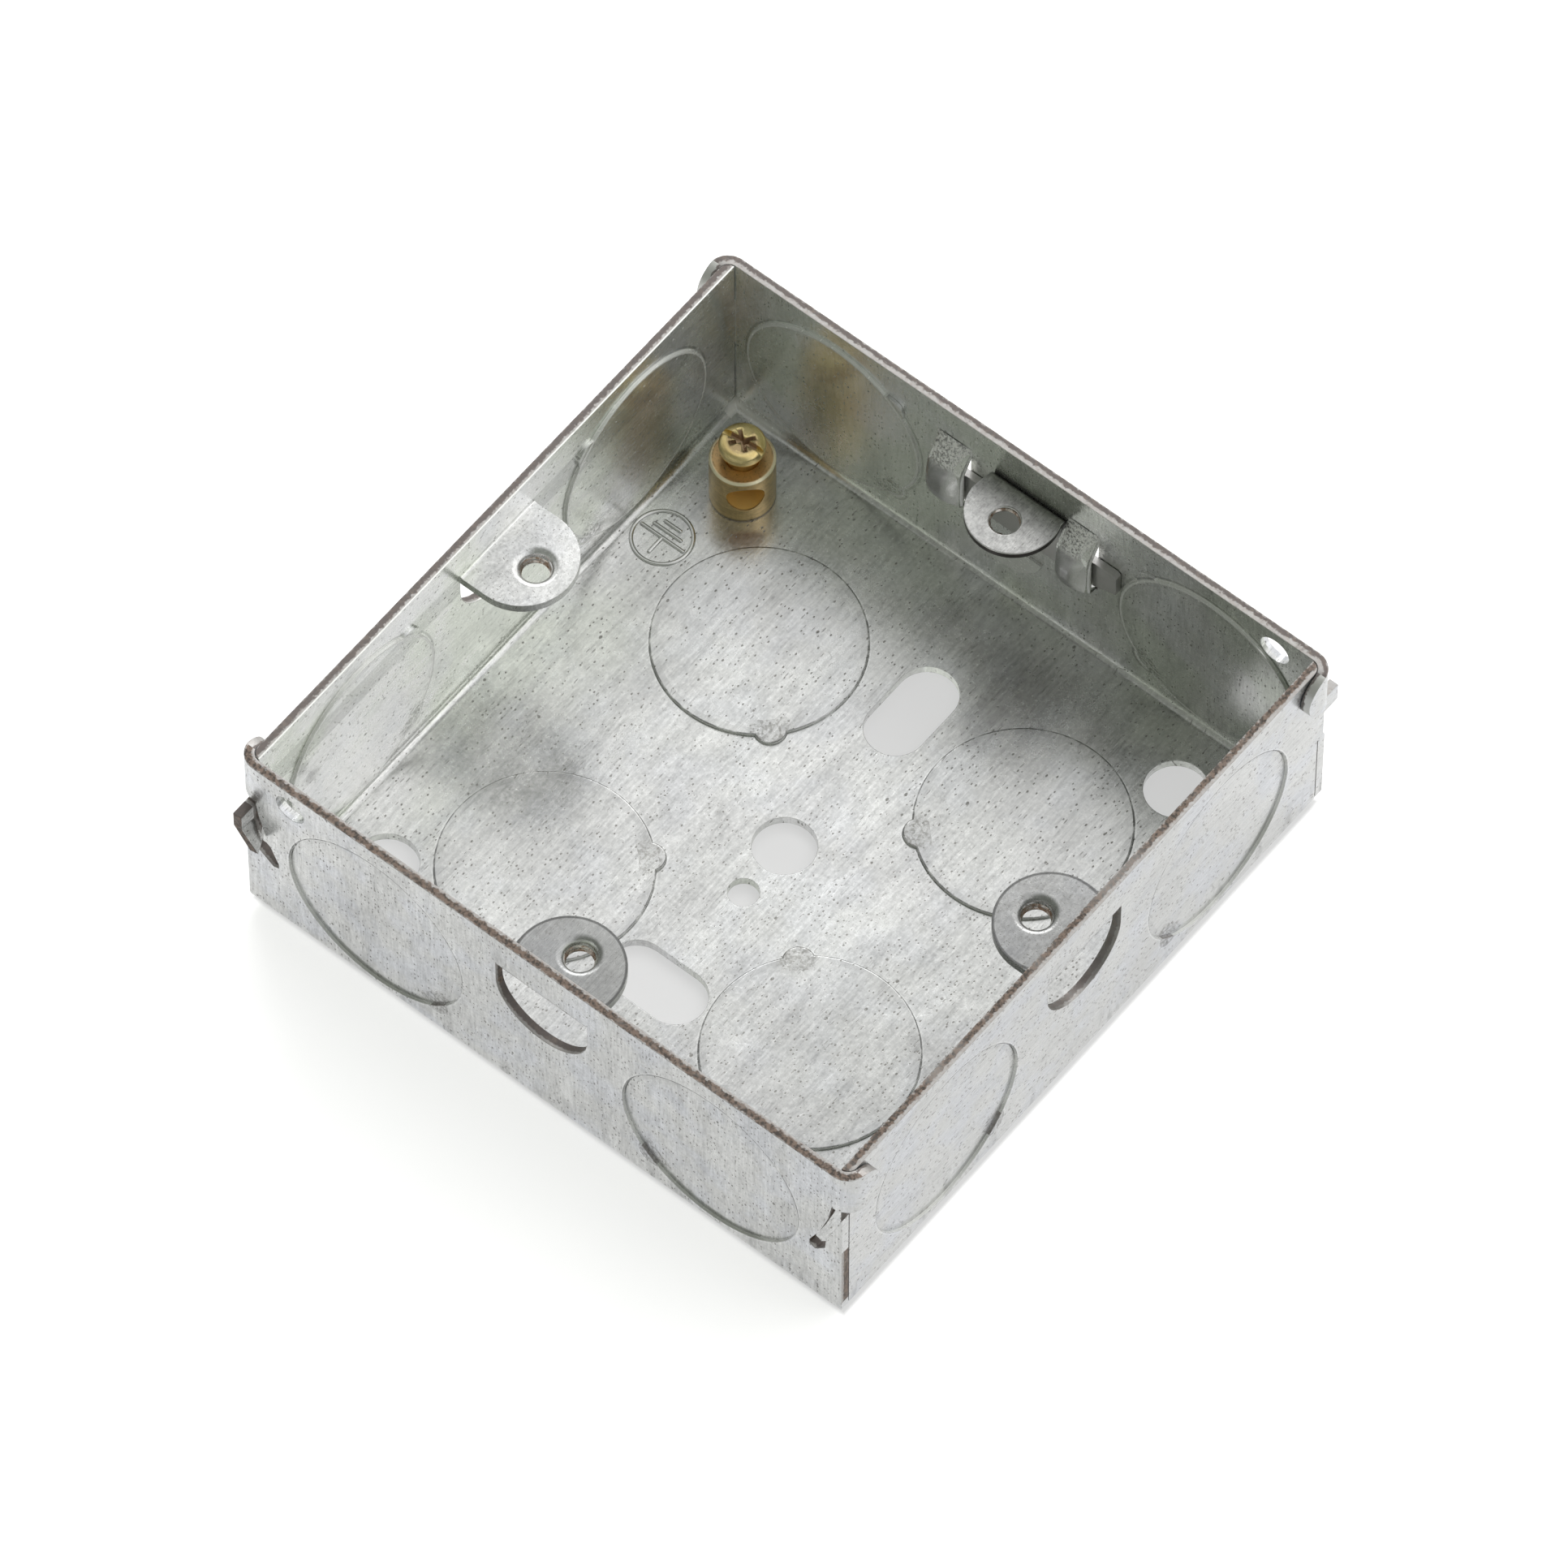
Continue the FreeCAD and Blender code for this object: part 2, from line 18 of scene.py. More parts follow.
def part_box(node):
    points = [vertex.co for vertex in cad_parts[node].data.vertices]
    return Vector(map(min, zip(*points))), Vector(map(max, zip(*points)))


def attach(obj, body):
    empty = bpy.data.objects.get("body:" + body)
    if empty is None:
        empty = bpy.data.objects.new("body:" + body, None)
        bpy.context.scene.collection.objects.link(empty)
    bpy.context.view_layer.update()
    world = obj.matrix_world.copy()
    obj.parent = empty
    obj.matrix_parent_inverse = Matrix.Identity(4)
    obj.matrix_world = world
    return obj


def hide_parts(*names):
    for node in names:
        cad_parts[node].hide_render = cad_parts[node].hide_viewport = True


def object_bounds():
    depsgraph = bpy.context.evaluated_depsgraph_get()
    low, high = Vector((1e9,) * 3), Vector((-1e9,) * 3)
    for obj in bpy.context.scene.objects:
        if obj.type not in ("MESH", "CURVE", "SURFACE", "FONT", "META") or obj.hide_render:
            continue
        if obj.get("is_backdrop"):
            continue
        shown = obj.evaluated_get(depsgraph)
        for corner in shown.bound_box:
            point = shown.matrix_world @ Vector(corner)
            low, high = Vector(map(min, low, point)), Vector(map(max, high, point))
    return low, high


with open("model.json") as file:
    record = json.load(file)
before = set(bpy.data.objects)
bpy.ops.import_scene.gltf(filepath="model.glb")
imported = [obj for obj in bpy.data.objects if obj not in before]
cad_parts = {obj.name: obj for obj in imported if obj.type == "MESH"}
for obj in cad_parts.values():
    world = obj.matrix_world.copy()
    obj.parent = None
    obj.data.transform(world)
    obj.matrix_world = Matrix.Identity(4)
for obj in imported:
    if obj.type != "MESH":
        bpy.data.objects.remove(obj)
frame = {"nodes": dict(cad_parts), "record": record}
cad_box = [list(corner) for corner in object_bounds()]
MM = 0.001
print("nodes:", sorted(frame["nodes"]), "box in mm:", [[round(v / MM, 2) for v in corner] for corner in cad_box])

# %% [markdown]
# ## Places taken from the model
#
# Each added piece sits on something that the model already has, such as a tapped hole or the top of the floor sheet.
# Reading those places from the model, instead of typing them again, keeps a thread in its hole if the hole moves.

# %% Reading the places of the holes
mounts = {mount["name"]: mount for mount in frame["record"]["mounts"]}


def place_of(name):
    """The middle of a mount, in millimetres."""
    return Vector(mounts[name]["pos_m"]) / MM


SHEET = mounts["centre_hole"]["dims"]["length_mm"]
LUG_PITCH = mounts["faceplate_screws"]["dims"]["spacing_x_mm"]
THREAD_R = mounts["faceplate_screws"]["dims"]["hole_r_mm"]
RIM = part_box("back_box")[1].z / MM
BODY_X, BODY_Y = 35.85, 36.25
centre = place_of("faceplate_screws")
lug_holes = {
    "west": centre - Vector((LUG_PITCH / 2, 0, 0)),
    "east": centre + Vector((LUG_PITCH / 2, 0, 0)),
    "south": place_of("lug_hole_s"),
    "north": place_of("sliding_lug_hole"),
}
print("lug holes in mm:", {side: [round(v, 2) for v in hole] for side, hole in lug_holes.items()})

# %% [markdown]
# ## The camera
#
# The picture was taken from high over the south-east corner with a long lens, so that parallel edges stay nearly
# parallel. Azimuth, height and distance were found by matching the rim and the lug holes, and the small roll levels
# the box in the frame.

# %% Placing the camera
AZIMUTH, HEIGHT, ROLL = math.radians(38.911), math.radians(59.04), math.radians(0.075)
DISTANCE, LENS = 1561.305, 377.77
AIM = Vector((-4.715, 5.41, 0))

back = Vector((math.sin(AZIMUTH) * math.cos(HEIGHT), -math.cos(AZIMUTH) * math.cos(HEIGHT), math.sin(HEIGHT)))
camera_data = bpy.data.cameras.new("camera")
camera_data.lens = LENS
camera_data.sensor_width = 36
camera_data.clip_start, camera_data.clip_end = 0.05, 20
camera = bpy.data.objects.new("camera", camera_data)
turn = back.to_track_quat("Z", "Y").to_matrix().to_4x4() @ Matrix.Rotation(ROLL, 4, "Z")
camera.matrix_world = Matrix.Translation((AIM + back * DISTANCE) * MM) @ turn
bpy.context.scene.collection.objects.link(camera)
bpy.context.scene.camera = camera
print("camera at", [round(v, 3) for v in camera.matrix_world.translation])

# %% [markdown]
# ## Writing shader maths as sums
#
# A node tree is hard to read as a list of nodes and links. Here a socket is wrapped so that Python's own operators
# add the Math nodes: `1 - mask * 0.5` then reads as what it does. One method adds every other kind of node.


# %% Wrapping sockets and adding nodes
class Wire:
    """A node's output that takes part in sums: each operator adds one Math node."""

    def __init__(self, paint, socket):
        self.paint, self.socket = paint, socket

    def out(self, name):
        """Another output of the same node."""
        return Wire(self.paint, pick(self.socket.node.outputs, name))

    def maths(self, operation, first, second=0.0):
        return self.paint.add("ShaderNodeMath", {"operation": operation}, {0: first, 1: second})

    def __add__(self, other):
        return self.maths("ADD", self, other)

    def __radd__(self, other):
        return self.maths("ADD", other, self)

    def __sub__(self, other):
        return self.maths("SUBTRACT", self, other)

    def __rsub__(self, other):
        return self.maths("SUBTRACT", other, self)

    def __mul__(self, other):
        return self.maths("MULTIPLY", self, other)

    def __rmul__(self, other):
        return self.maths("MULTIPLY", other, self)

    def __truediv__(self, other):
        return self.maths("DIVIDE", self, other)

    def __pow__(self, other):
        return self.maths("POWER", self, other)

    def __abs__(self):
        return self.maths("ABSOLUTE", self)

    def __gt__(self, other):
        return self.maths("GREATER_THAN", self, other)

    def __lt__(self, other):
        return self.maths("LESS_THAN", self, other)


def pick(sockets, key):
    """A socket by its number, identifier or name."""
    if isinstance(key, int):
        return sockets[key]
    return next(s for s in sockets if key in (s.identifier, s.name))


class Paint:
    """One node tree and the single method that adds nodes to it."""

    def __init__(self, tree):
        self.tree = tree
        tree.nodes.clear()

    def add(self, kind, settings=None, values=None, out=0):
        node = self.tree.nodes.new(kind)
        for name, value in (settings or {}).items():
            setattr(node, name, value)
        for key, value in (values or {}).items():
            socket = pick(node.inputs, key)
            if isinstance(value, Wire):
                self.tree.links.new(value.socket, socket)
            elif socket.type == "RGBA":
                socket.default_value = (*value, 1)
            else:
                socket.default_value = value
        return Wire(self, pick(node.outputs, out)) if node.outputs else node

    def noise(self, vector, scale, detail=2.0, roughness=0.5):
        return self.add("ShaderNodeTexNoise", values={
            "Vector": vector, "Scale": scale, "Detail": detail, "Roughness": roughness})

    def ramp(self, value, low, high, start=0.0, end=1.0):
        """A soft step: start below low, end above high."""
        return self.add("ShaderNodeMapRange", {"interpolation_type": "SMOOTHSTEP"},
                        {0: value, 1: low, 2: high, 3: start, 4: end})

    def mix(self, share, first, second, way="MIX"):
        return self.add("ShaderNodeMix", {"data_type": "RGBA", "blend_type": way},
                        {"Factor_Float": share, "A_Color": first, "B_Color": second}, "Result_Color")

    def vector(self, x, y, z):
        return self.add("ShaderNodeCombineXYZ", values={0: x, 1: y, 2: z})

    def shade(self, colour, light):
        """A colour times a number."""
        return self.mix(1.0, colour, self.vector(light, light, light), "MULTIPLY")

    def most(self, first, *others):
        for other in others:
            first = self.add("ShaderNodeMath", {"operation": "MAXIMUM"}, {0: first, 1: other})
        return first

    def least(self, first, second):
        return self.add("ShaderNodeMath", {"operation": "MINIMUM"}, {0: first, 1: second})

    def places(self):
        """The point on the piece, in millimetres: as a vector, and as x, y and z."""
        metres = self.add("ShaderNodeTexCoord", out="Object")
        point = self.add("ShaderNodeVectorMath", {"operation": "SCALE"}, {0: metres, "Scale": 1 / MM})
        split = self.add("ShaderNodeSeparateXYZ", values={0: point})
        return point, split, split.out("Y"), split.out("Z")

    def normals(self, kind="Normal"):
        """How much the surface faces along x, y and z."""
        split = self.add("ShaderNodeSeparateXYZ", values={0: self.add("ShaderNodeNewGeometry", out=kind)})
        return split, split.out("Y"), split.out("Z")


def new_material(name):
    material = bpy.data.materials.new(name)
    material.use_nodes = True
    return material, Paint(material.node_tree)


def bumped(paint, height, strength, deep, rounding=None):
    """A normal from a height, at most deep millimetres, over edges that look rounded by a radius."""
    values = {"Strength": strength, "Distance": deep * MM, "Height": height}
    if rounding:
        values["Normal"] = paint.add("ShaderNodeBevel", {"samples": 4}, {"Radius": rounding * MM})
    return paint.add("ShaderNodeBump", values=values)


def finish_with(paint, **sockets):
    """Ends a material with the surface shader. A socket's name is written with _ for its spaces."""
    shader = paint.add("ShaderNodeBsdfPrincipled", values={k.replace("_", " "): v for k, v in sockets.items()})
    paint.add("ShaderNodeOutputMaterial", values={"Surface": shader})


EDGE_ROUND = 0.12
print("edges look rounded by", EDGE_ROUND, "mm")

# %% [markdown]
# ## Light for bare metal
#
# Bare metal shows little but what it mirrors, so the studio matters more than the lamps. The sky is a smooth wall of
# light that is bright behind the box and dim on the camera's side. The floor of the box then mirrors the bright
# part, and the north wall mirrors the dim part, as in the picture. One wide lamp behind the box adds the soft shadow.

# %% Making the sky
DIM_SKY, CLEAR_SKY, BRIGHT_SKY = (0.255, 0.268, 0.236), (0.94, 0.945, 0.94), (1.4, 1.4, 1.38)

world = bpy.data.worlds.new("studio")
world.use_nodes = True
bpy.context.scene.world = world
sky = Paint(world.node_tree)
toward = sky.add("ShaderNodeSeparateXYZ", values={0: sky.add("ShaderNodeTexCoord", out="Generated")})
toward_back = toward.out("Y") + toward * 0.35
dim_to_clear = sky.mix(sky.ramp(toward_back, -0.34, 0.24), DIM_SKY, CLEAR_SKY)
gradient = sky.mix(sky.ramp(toward_back, 0.28, 0.62), dim_to_clear, BRIGHT_SKY)
seen_directly = sky.add("ShaderNodeLightPath", out="Is Camera Ray")
shown = sky.mix(seen_directly, gradient, (1, 1, 1))
sky.add("ShaderNodeOutputWorld", values={"Surface": sky.add("ShaderNodeBackground", values={"Color": shown})})
print("sky from", DIM_SKY, "to", BRIGHT_SKY)

# %% Hanging one wide lamp behind the box
lamp_data = bpy.data.lights.new("wide_lamp", "AREA")
lamp_data.shape = "RECTANGLE"
lamp_data.size, lamp_data.size_y = 0.8, 0.6
lamp_data.energy = 4.5
lamp = bpy.data.objects.new("wide_lamp", lamp_data)
lamp.location = (-0.65, 0.85, 0.75)
lamp.rotation_euler = Vector(lamp.location).to_track_quat("Z", "Y").to_euler()
bpy.context.scene.collection.objects.link(lamp)
print("lamp", round((lamp.location.length), 2), "m away")

# %% [markdown]
# ## The table
#
# A plain pale plane carries the box. A white table under this light would still render grey, so a little of its
# brightness is given to the rays of the camera and to those of mirrors. The light on the box stays as it is, and
# so does the shadow. Under the box the table is darker, a painted shadow, which is how it looks through the holes
# in the picture.

# %% Laying the table
TABLE_HALF = 4.0
TABLE_DROP = 0.05 * MM
CARD, CARD_SEEN, CARD_UNDER = (0.55,) * 3, (0.88,) * 3, (0.3,) * 3
GLOW_SEEN, GLOW_UNDER, GLOW_MIRRORED = 0.6, 0.52, 0.62
BORDER = 0.3

bpy.ops.mesh.primitive_plane_add(size=2 * TABLE_HALF, location=(0, 0, -TABLE_DROP))
table = bpy.context.object
table.name = "table"
table_material, paint = new_material("pale_table")
seen = paint.add("ShaderNodeLightPath", out="Is Camera Ray")
mirrored = seen.out("Is Glossy Ray")
x, y = paint.places()[1:3]
# Painted shadow: within the box's footprint the table's colour and glow are lowered.
under_box = paint.ramp(paint.most(abs(x), abs(y)), BODY_X + BORDER, BODY_X - BORDER)
lift = seen * (GLOW_SEEN - under_box * (GLOW_SEEN - GLOW_UNDER)) + mirrored * GLOW_MIRRORED
card = paint.add("ShaderNodeBsdfDiffuse", values={
    "Color": paint.mix(under_box, paint.mix(seen, CARD, CARD_SEEN), CARD_UNDER)})
glow = paint.add("ShaderNodeEmission", values={"Color": (1, 1, 1), "Strength": lift})
both = paint.add("ShaderNodeAddShader", values={0: card, 1: glow})
paint.add("ShaderNodeOutputMaterial", values={"Surface": both})
table.data.materials.append(table_material)
table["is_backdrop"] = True
print("table", 2 * TABLE_HALF, "m wide")

# %% [markdown]
# ## Zinc skin
#
# The sheet left the mill with streaks along one direction, and was folded after that. So the streaks run along y on
# the floor and on the east and west walls, and up the north and south walls. Two coordinates that unfold with the
# sheet, one along the streaks and one across them, give every face its right grain without any unwrapping.


# %% Unfolding the sheet into along and across
def unfold(paint):
    """The point, its coordinates along and across the rolling direction, and the masks of the walls."""
    point, x, y, z = paint.places()
    nx, ny = paint.normals()[:2]
    end_wall = paint.ramp(abs(ny), 0.55, 0.8)
    side_wall = paint.ramp(abs(nx), 0.55, 0.8)
    east = paint.ramp(x, -6, 6, -1, 1)
    north = paint.ramp(y, -6, 6, -1, 1)
    return SimpleNamespace(point=point, x=x, y=y, z=z, side_wall=side_wall, end_wall=end_wall,
                           across=x + z * east * (1 - end_wall), along=y + z * north * (1 - side_wall))


print("streaks run along y on the floor")

# %% [markdown]
# ## Specks, streaks and scratches
#
# Zinc that has been rolled, pressed and handled is never one grey. Fine streaks come from a noise that is stretched
# along the rolling direction. Dark specks are the cells of a Voronoi texture: each cell holds one dot, a random
# number says whether it shows and how large it is, and stretched cells turn dots into dashes. Scratches are the
# contour lines of a slow noise, because a contour is thin, long and never quite straight.


# %% Dots, hairlines and streaks
def dots(paint, cells, share, size):
    """Dots on a share of the cells, with radii up to size, in widths of a cell."""
    cell = paint.add("ShaderNodeTexVoronoi", {"voronoi_dimensions": "2D"}, {"Vector": cells, "Scale": 1.0})
    chance = paint.add("ShaderNodeSeparateColor", values={0: cell.out("Color")})
    reach = (0.35 + 0.65 * chance.out("Green")) * size
    return paint.ramp(cell - reach, 0.03, -0.03) * (chance < share)


def hairlines(paint, field, width):
    """Thin lines where a noise field passes its middle value."""
    return paint.ramp(abs(field - 0.5), width, 0.0)


def zinc_layers(paint, at, crowding):
    """How light the zinc is, where it has specks, two plain noises, and its height for the bump."""
    across, along = at.across, at.along
    fine = paint.noise(paint.vector(across * 3.0, along * 0.3, 0.0), 1, 4, 0.7)
    broad = paint.noise(paint.vector(across * 0.7, along * 0.06, 5.0), 1, 3)
    blotch = paint.noise(at.point, 0.13, 5, 0.62)
    grain = paint.noise(at.point, 2.6, 4, 0.72)
    crowd = paint.ramp(paint.noise(at.point, 0.3, 3, 0.6), 0.35, 0.65) * 0.45 + crowding * 0.6
    small = dots(paint, paint.vector(across * 2.4, along * 1.6, 0.0), 0.08 + crowd * 0.28, 0.25)
    dashes = dots(paint, paint.vector(across * 2.4 + 7.1, along * 0.5, 0.0), 0.08 + crowd * 0.16, 0.17)
    large = dots(paint, paint.vector(across * 0.9 + 3.3, along * 0.65, 0.0), 0.01 + crowd * 0.05, 0.14)
    specks = paint.most(small * 0.85, dashes * 0.55, large * paint.ramp(grain, 0.3, 0.5))
    scratch_on = paint.ramp(paint.noise(at.point, 0.45, 2), 0.48, 0.6)
    scratches = hairlines(paint, paint.noise(paint.vector(across * 1.3, along * 0.07, 2.0), 1, 3, 0.6), 0.014)
    hairs = hairlines(paint, paint.noise(at.point, 0.25, 1), 0.003) * paint.ramp(broad, 0.54, 0.62)
    scored = paint.most(scratches * scratch_on * 0.9, hairs)
    lightness = (1.0 + (fine - 0.5) * 0.85 + (broad - 0.5) * 0.4 + (blotch - 0.5) * 0.55
                 + (grain - 0.5) * 0.75 - scored * 0.26)
    return SimpleNamespace(lightness=lightness, specks=specks, blotch=blotch, grain=grain,
                           height=fine * 0.8 + grain * 0.7 - specks * 0.8 - scored * 0.5)


ZINC, ZINC_BLUE, ZINC_GREEN = (0.67, 0.672, 0.665), (0.66, 0.672, 0.70), (0.61, 0.635, 0.58)
DIRT, PALE = (0.12, 0.11, 0.095), (0.86, 0.87, 0.84)
print("zinc is", ZINC)

# %% [markdown]
# ## Knockout seams
#
# A knockout is a disc that the press nearly punched out: it stands a little inwards, held by one or two small ties.
# Its seam shows as a dark hairline with a bruised band inside. All seams on a face are mirror images, so one distance
# from the nearest disc's middle, measured on folded coordinates, draws them all.

# %% Distances to the knockouts
KNOCKOUT_R, KNOCKOUT_Z = 10.5, 12.5
KNOCKOUT_STEP = 0.3
FLOOR_KNOCKOUT, SIDE_KNOCKOUT = 16.1, 20.375
SOUTH_KNOCKOUT, NORTH_KNOCKOUT = 20.175, 22.7
TIE_OFF, TIE_R = 7.0, 1.6
WALL_DEEP = SHEET + KNOCKOUT_STEP + 0.1


def length(first, second):
    return (first * first + second * second) ** 0.5


def choose(mask, when_off, when_on):
    """One of two numbers, by a mask."""
    return when_off + (when_on - when_off) * mask


def knockout_edge(paint, first, second):
    """Distance from the seam, below nought inside it, and the distance from the tie's middle."""
    disc = length(first, second) - KNOCKOUT_R
    tie = length(first + TIE_OFF, second + TIE_OFF)
    return paint.least(disc, tie - TIE_R), tie


def seams(paint, at):
    """Distances from the nearest seam on the point's face and from its tie, and a mask of the disc's step."""
    end_wall = abs(at.y) > BODY_Y - WALL_DEEP
    side_wall = abs(at.x) > BODY_X - WALL_DEEP
    y = at.y - centre.y
    floor_seam, floor_tie = knockout_edge(paint, abs(at.x) - FLOOR_KNOCKOUT, abs(y) - FLOOR_KNOCKOUT)
    up = at.z - KNOCKOUT_Z
    side_seam, side_tie = knockout_edge(paint, abs(y) - SIDE_KNOCKOUT, up)
    end_off = choose(y > 0.0, SOUTH_KNOCKOUT, NORTH_KNOCKOUT)
    end_seam, end_tie = knockout_edge(paint, abs(at.x) - end_off, up)
    seam = choose(end_wall, choose(side_wall, floor_seam, side_seam), end_seam)
    tie = choose(end_wall, choose(side_wall, floor_tie, side_tie), end_tie)
    nx, ny, nz = paint.normals("True Normal")
    facing = choose(end_wall, choose(side_wall, abs(nz), abs(nx)), abs(ny))
    step = (facing < 0.5) * (abs(seam) < 0.25) * paint.most(end_wall, side_wall)
    return seam, tie, step


print("knockouts", 2 * KNOCKOUT_R, "mm across")

# %% [markdown]
# ## Cut edges
#
# A blanking press shears half of the sheet's thickness and tears the rest. The sheared half keeps some smeared zinc
# and shines. The torn half is bare steel, which turned brown. A cut face is found by its place, between the two
# skins of a wall, and by its direction, which lies in the plane of that wall. How deep a point lies in the sheet
# then says whether it is torn or sheared, and noise makes the border between them ragged. The small steps round the
# knockouts lie in the same places, but they are zinc, so their mask is taken out.


# %% Masks of the cut edges
EDGE_BROWN, EDGE_DARK, EDGE_SHEARED = (0.22, 0.16, 0.125), (0.05, 0.038, 0.03), (0.42, 0.41, 0.4)
EDGE_SOFT = (0.17, 0.148, 0.142)
FOLD_TOP, OPEN_CORNER = 2.6, 12.0
EAR_X, EAR_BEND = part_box("back_box")[1].x / MM, 2.2
SLACK = 0.03
wall_hole, WALL_HOLE_R = place_of("wall_hole_n"), mounts["wall_hole_n"]["dims"]["r_mm"]


def slab(value, inner, outer):
    """One between inner and outer, and nought elsewhere."""
    return (value > inner) * (value < outer)


def cut_edges(paint, at):
    """Masks of the cut faces of the side and end walls, their depths in the sheet, the rim and the ears."""
    off_x, off_y, z = abs(at.x), abs(at.y), at.z
    nx, ny, nz = paint.normals("True Normal")
    past_x = paint.most(off_x - EAR_X + EAR_BEND, 0.0)
    past_y = paint.most(off_y - BODY_Y + EAR_BEND, 0.0)
    wrap_depth = (EAR_BEND - length(past_x, past_y)) / SHEET
    rim = (z > RIM - 0.05) * (nz > 0.5)
    wrapped = rim * (wrap_depth < 1.04)
    upright = (z > FOLD_TOP) * (1.0 - rim) * (1.0 - at.step)
    ear_end = (off_x > BODY_X + SLACK) * (abs(nx) < 0.4) * upright
    tongue_edge = (off_y > BODY_Y + 0.05) * (abs(nx) < 0.6) * upright
    side = slab(off_x, BODY_X - SHEET - SLACK, BODY_X + SLACK) * (abs(nx) < 0.4) * (z > FOLD_TOP)
    side = side * (off_y < BODY_Y - 0.25) * (1.0 - at.step)
    end = slab(off_y, BODY_Y - SHEET - SLACK, BODY_Y + SLACK) * (abs(ny) < 0.4) * upright
    end = end * (1.0 - (off_x > BODY_X - 0.1) * paint.most(at.y > 0.0, z > OPEN_CORNER))
    in_hole = length(off_x - wall_hole.x, z - wall_hole.z) < WALL_HOLE_R + 0.1
    depth = choose(rim, (BODY_Y - off_y) / SHEET, wrap_depth)
    depth = choose(ear_end, depth, (EAR_X - off_x) / SHEET)
    depth = choose(tongue_edge, depth, 0.5)
    end = paint.most(end * (1.0 - in_hole), wrapped, ear_end, tongue_edge)
    return SimpleNamespace(side=side * (1.0 - end), end=end, side_depth=(BODY_X - off_x) / SHEET,
                           end_depth=depth, rim=rim, ear_end=ear_end)


def torn_strip(paint, depth, first, last, ragged):
    """The torn part of a cut face, from depth first to depth last."""
    start = paint.ramp(depth - (ragged - 0.5) * 0.9, first - 0.06, first + 0.06)
    return start * paint.ramp(depth - (ragged - 0.5) * 1.4, last + 0.08, last - 0.08)


print("cut edges are within", SHEET, "mm of the outer skin")


# %% [markdown]
# ## Marks at known places
#
# Some marks belong to one spot: a thumb's smudge by a corner, the scored tops of the two straps that the press pulled
# inwards, lit partly by a painted highlight, two painted glints, the pale half round under the sliding lug. Each is a
# soft ball about a point or a band between two planes, so the values below can be read against the picture one mark
# at a time.

# %% Listing the marks
SMUDGES = [((-35.7, -36.3, 20.3), 1.5), ((-34.4, -36.3, 15.6), 1.5), ((-34.9, -29.5, 16.6), 1.4),
           ((-34.9, -28.2, 13.8), 1.5)]
# Glints: painted highlights, small pale spots on the wall above the straps.
GLINTS = [((-5.5, 35.25, 23.2), 0.42), ((9.7, 35.25, 22.9), 0.42)]
LUG_R, LUG_REACH = 5.5, 3.05
LUG_TIPS = [(BODY_X - SHEET - LUG_REACH, centre.y), (lug_holes["south"].x, SHEET + LUG_REACH - BODY_Y)]
LUG_LOW, LUG_HIGH = 18.0, 21.2
STRAPS = [(-9.904, -6.104), (5.604, 9.304)]
STRAP_LOW, STRAP_TOP = 11.8, 21.1
WALL_IN = BODY_Y - SHEET
HALF_MOON = (-2.1, 10.4, 4.9, 9.6)


def near_spots(paint, point, spots):
    """One at the middle of each spot, falling to nought at its radius."""
    balls = []
    for spot, radius in spots:
        away = paint.add("ShaderNodeVectorMath", {"operation": "DISTANCE"}, {0: point, 1: spot}, "Value")
        balls.append(paint.ramp(away, radius, radius * 0.3))
    return paint.most(*balls)


def strap_tops(paint, at):
    """The strained metal over and just above each strap's upper slope."""
    over = paint.most(*(slab(at.x, low - 0.4, high + 0.6) for low, high in STRAPS))
    return over * paint.ramp(abs(at.z - 20.2), 1.7, 0.9) * (at.y > 33.0) * (at.z > 18.2)


print(len(SMUDGES), "smudges and", len(GLINTS), "glints")


# %% Looking up a point of the box
def look_up(paint):
    """Where a point of the box lies, its seams and zinc, and the masks that several marks share."""
    at = unfold(paint)
    at.inside = (abs(at.x) < BODY_X - 0.5) * (abs(at.y) < BODY_Y - 0.5)
    at.inner_wall = at.inside * paint.most(at.side_wall, at.end_wall)
    at.dark_wall = at.inner_wall * paint.ramp(at.y, -6.0, 20.0)
    at.up = paint.normals("True Normal")[2]
    at.patchy = paint.noise(at.point, 0.8, 3, 0.6)
    at.seam, at.tie, at.step = seams(paint, at)
    at.zinc = zinc_layers(paint, at, paint.ramp(at.x - at.y, -40, 40))
    return at


def tinted_zinc(paint, at):
    """Zinc with bluish clouds, and a greenish cast on the inner walls."""
    bluish = paint.ramp(paint.noise(at.point, 0.2, 3), 0.42, 0.66)
    greenish = paint.ramp(paint.noise(at.point, 0.07, 2), 0.4, 0.6)
    cool = paint.mix(bluish * (1.0 - at.inside * 0.6), ZINC, ZINC_BLUE)
    return paint.mix(greenish * at.inside * (0.1 + at.inner_wall * 0.9), cool, ZINC_GREEN)


print("tints", ZINC_BLUE, "and", ZINC_GREEN)


# %% Darker and lighter zinc
def seam_hair(paint, at):
    """The dark hairline of a seam: broken, faint on the inner walls and fading downwards on the outer ones."""
    hair = paint.ramp(abs(at.seam + 0.02), 0.13, 0.05) * paint.ramp(at.patchy, 0.34, 0.56, 0.25, 1.0)
    hair = hair * (1.0 - at.inner_wall * 0.9)
    return choose(at.inside, hair * paint.ramp(at.z, 10.0, 15.0, 0.15, 1.5), hair)


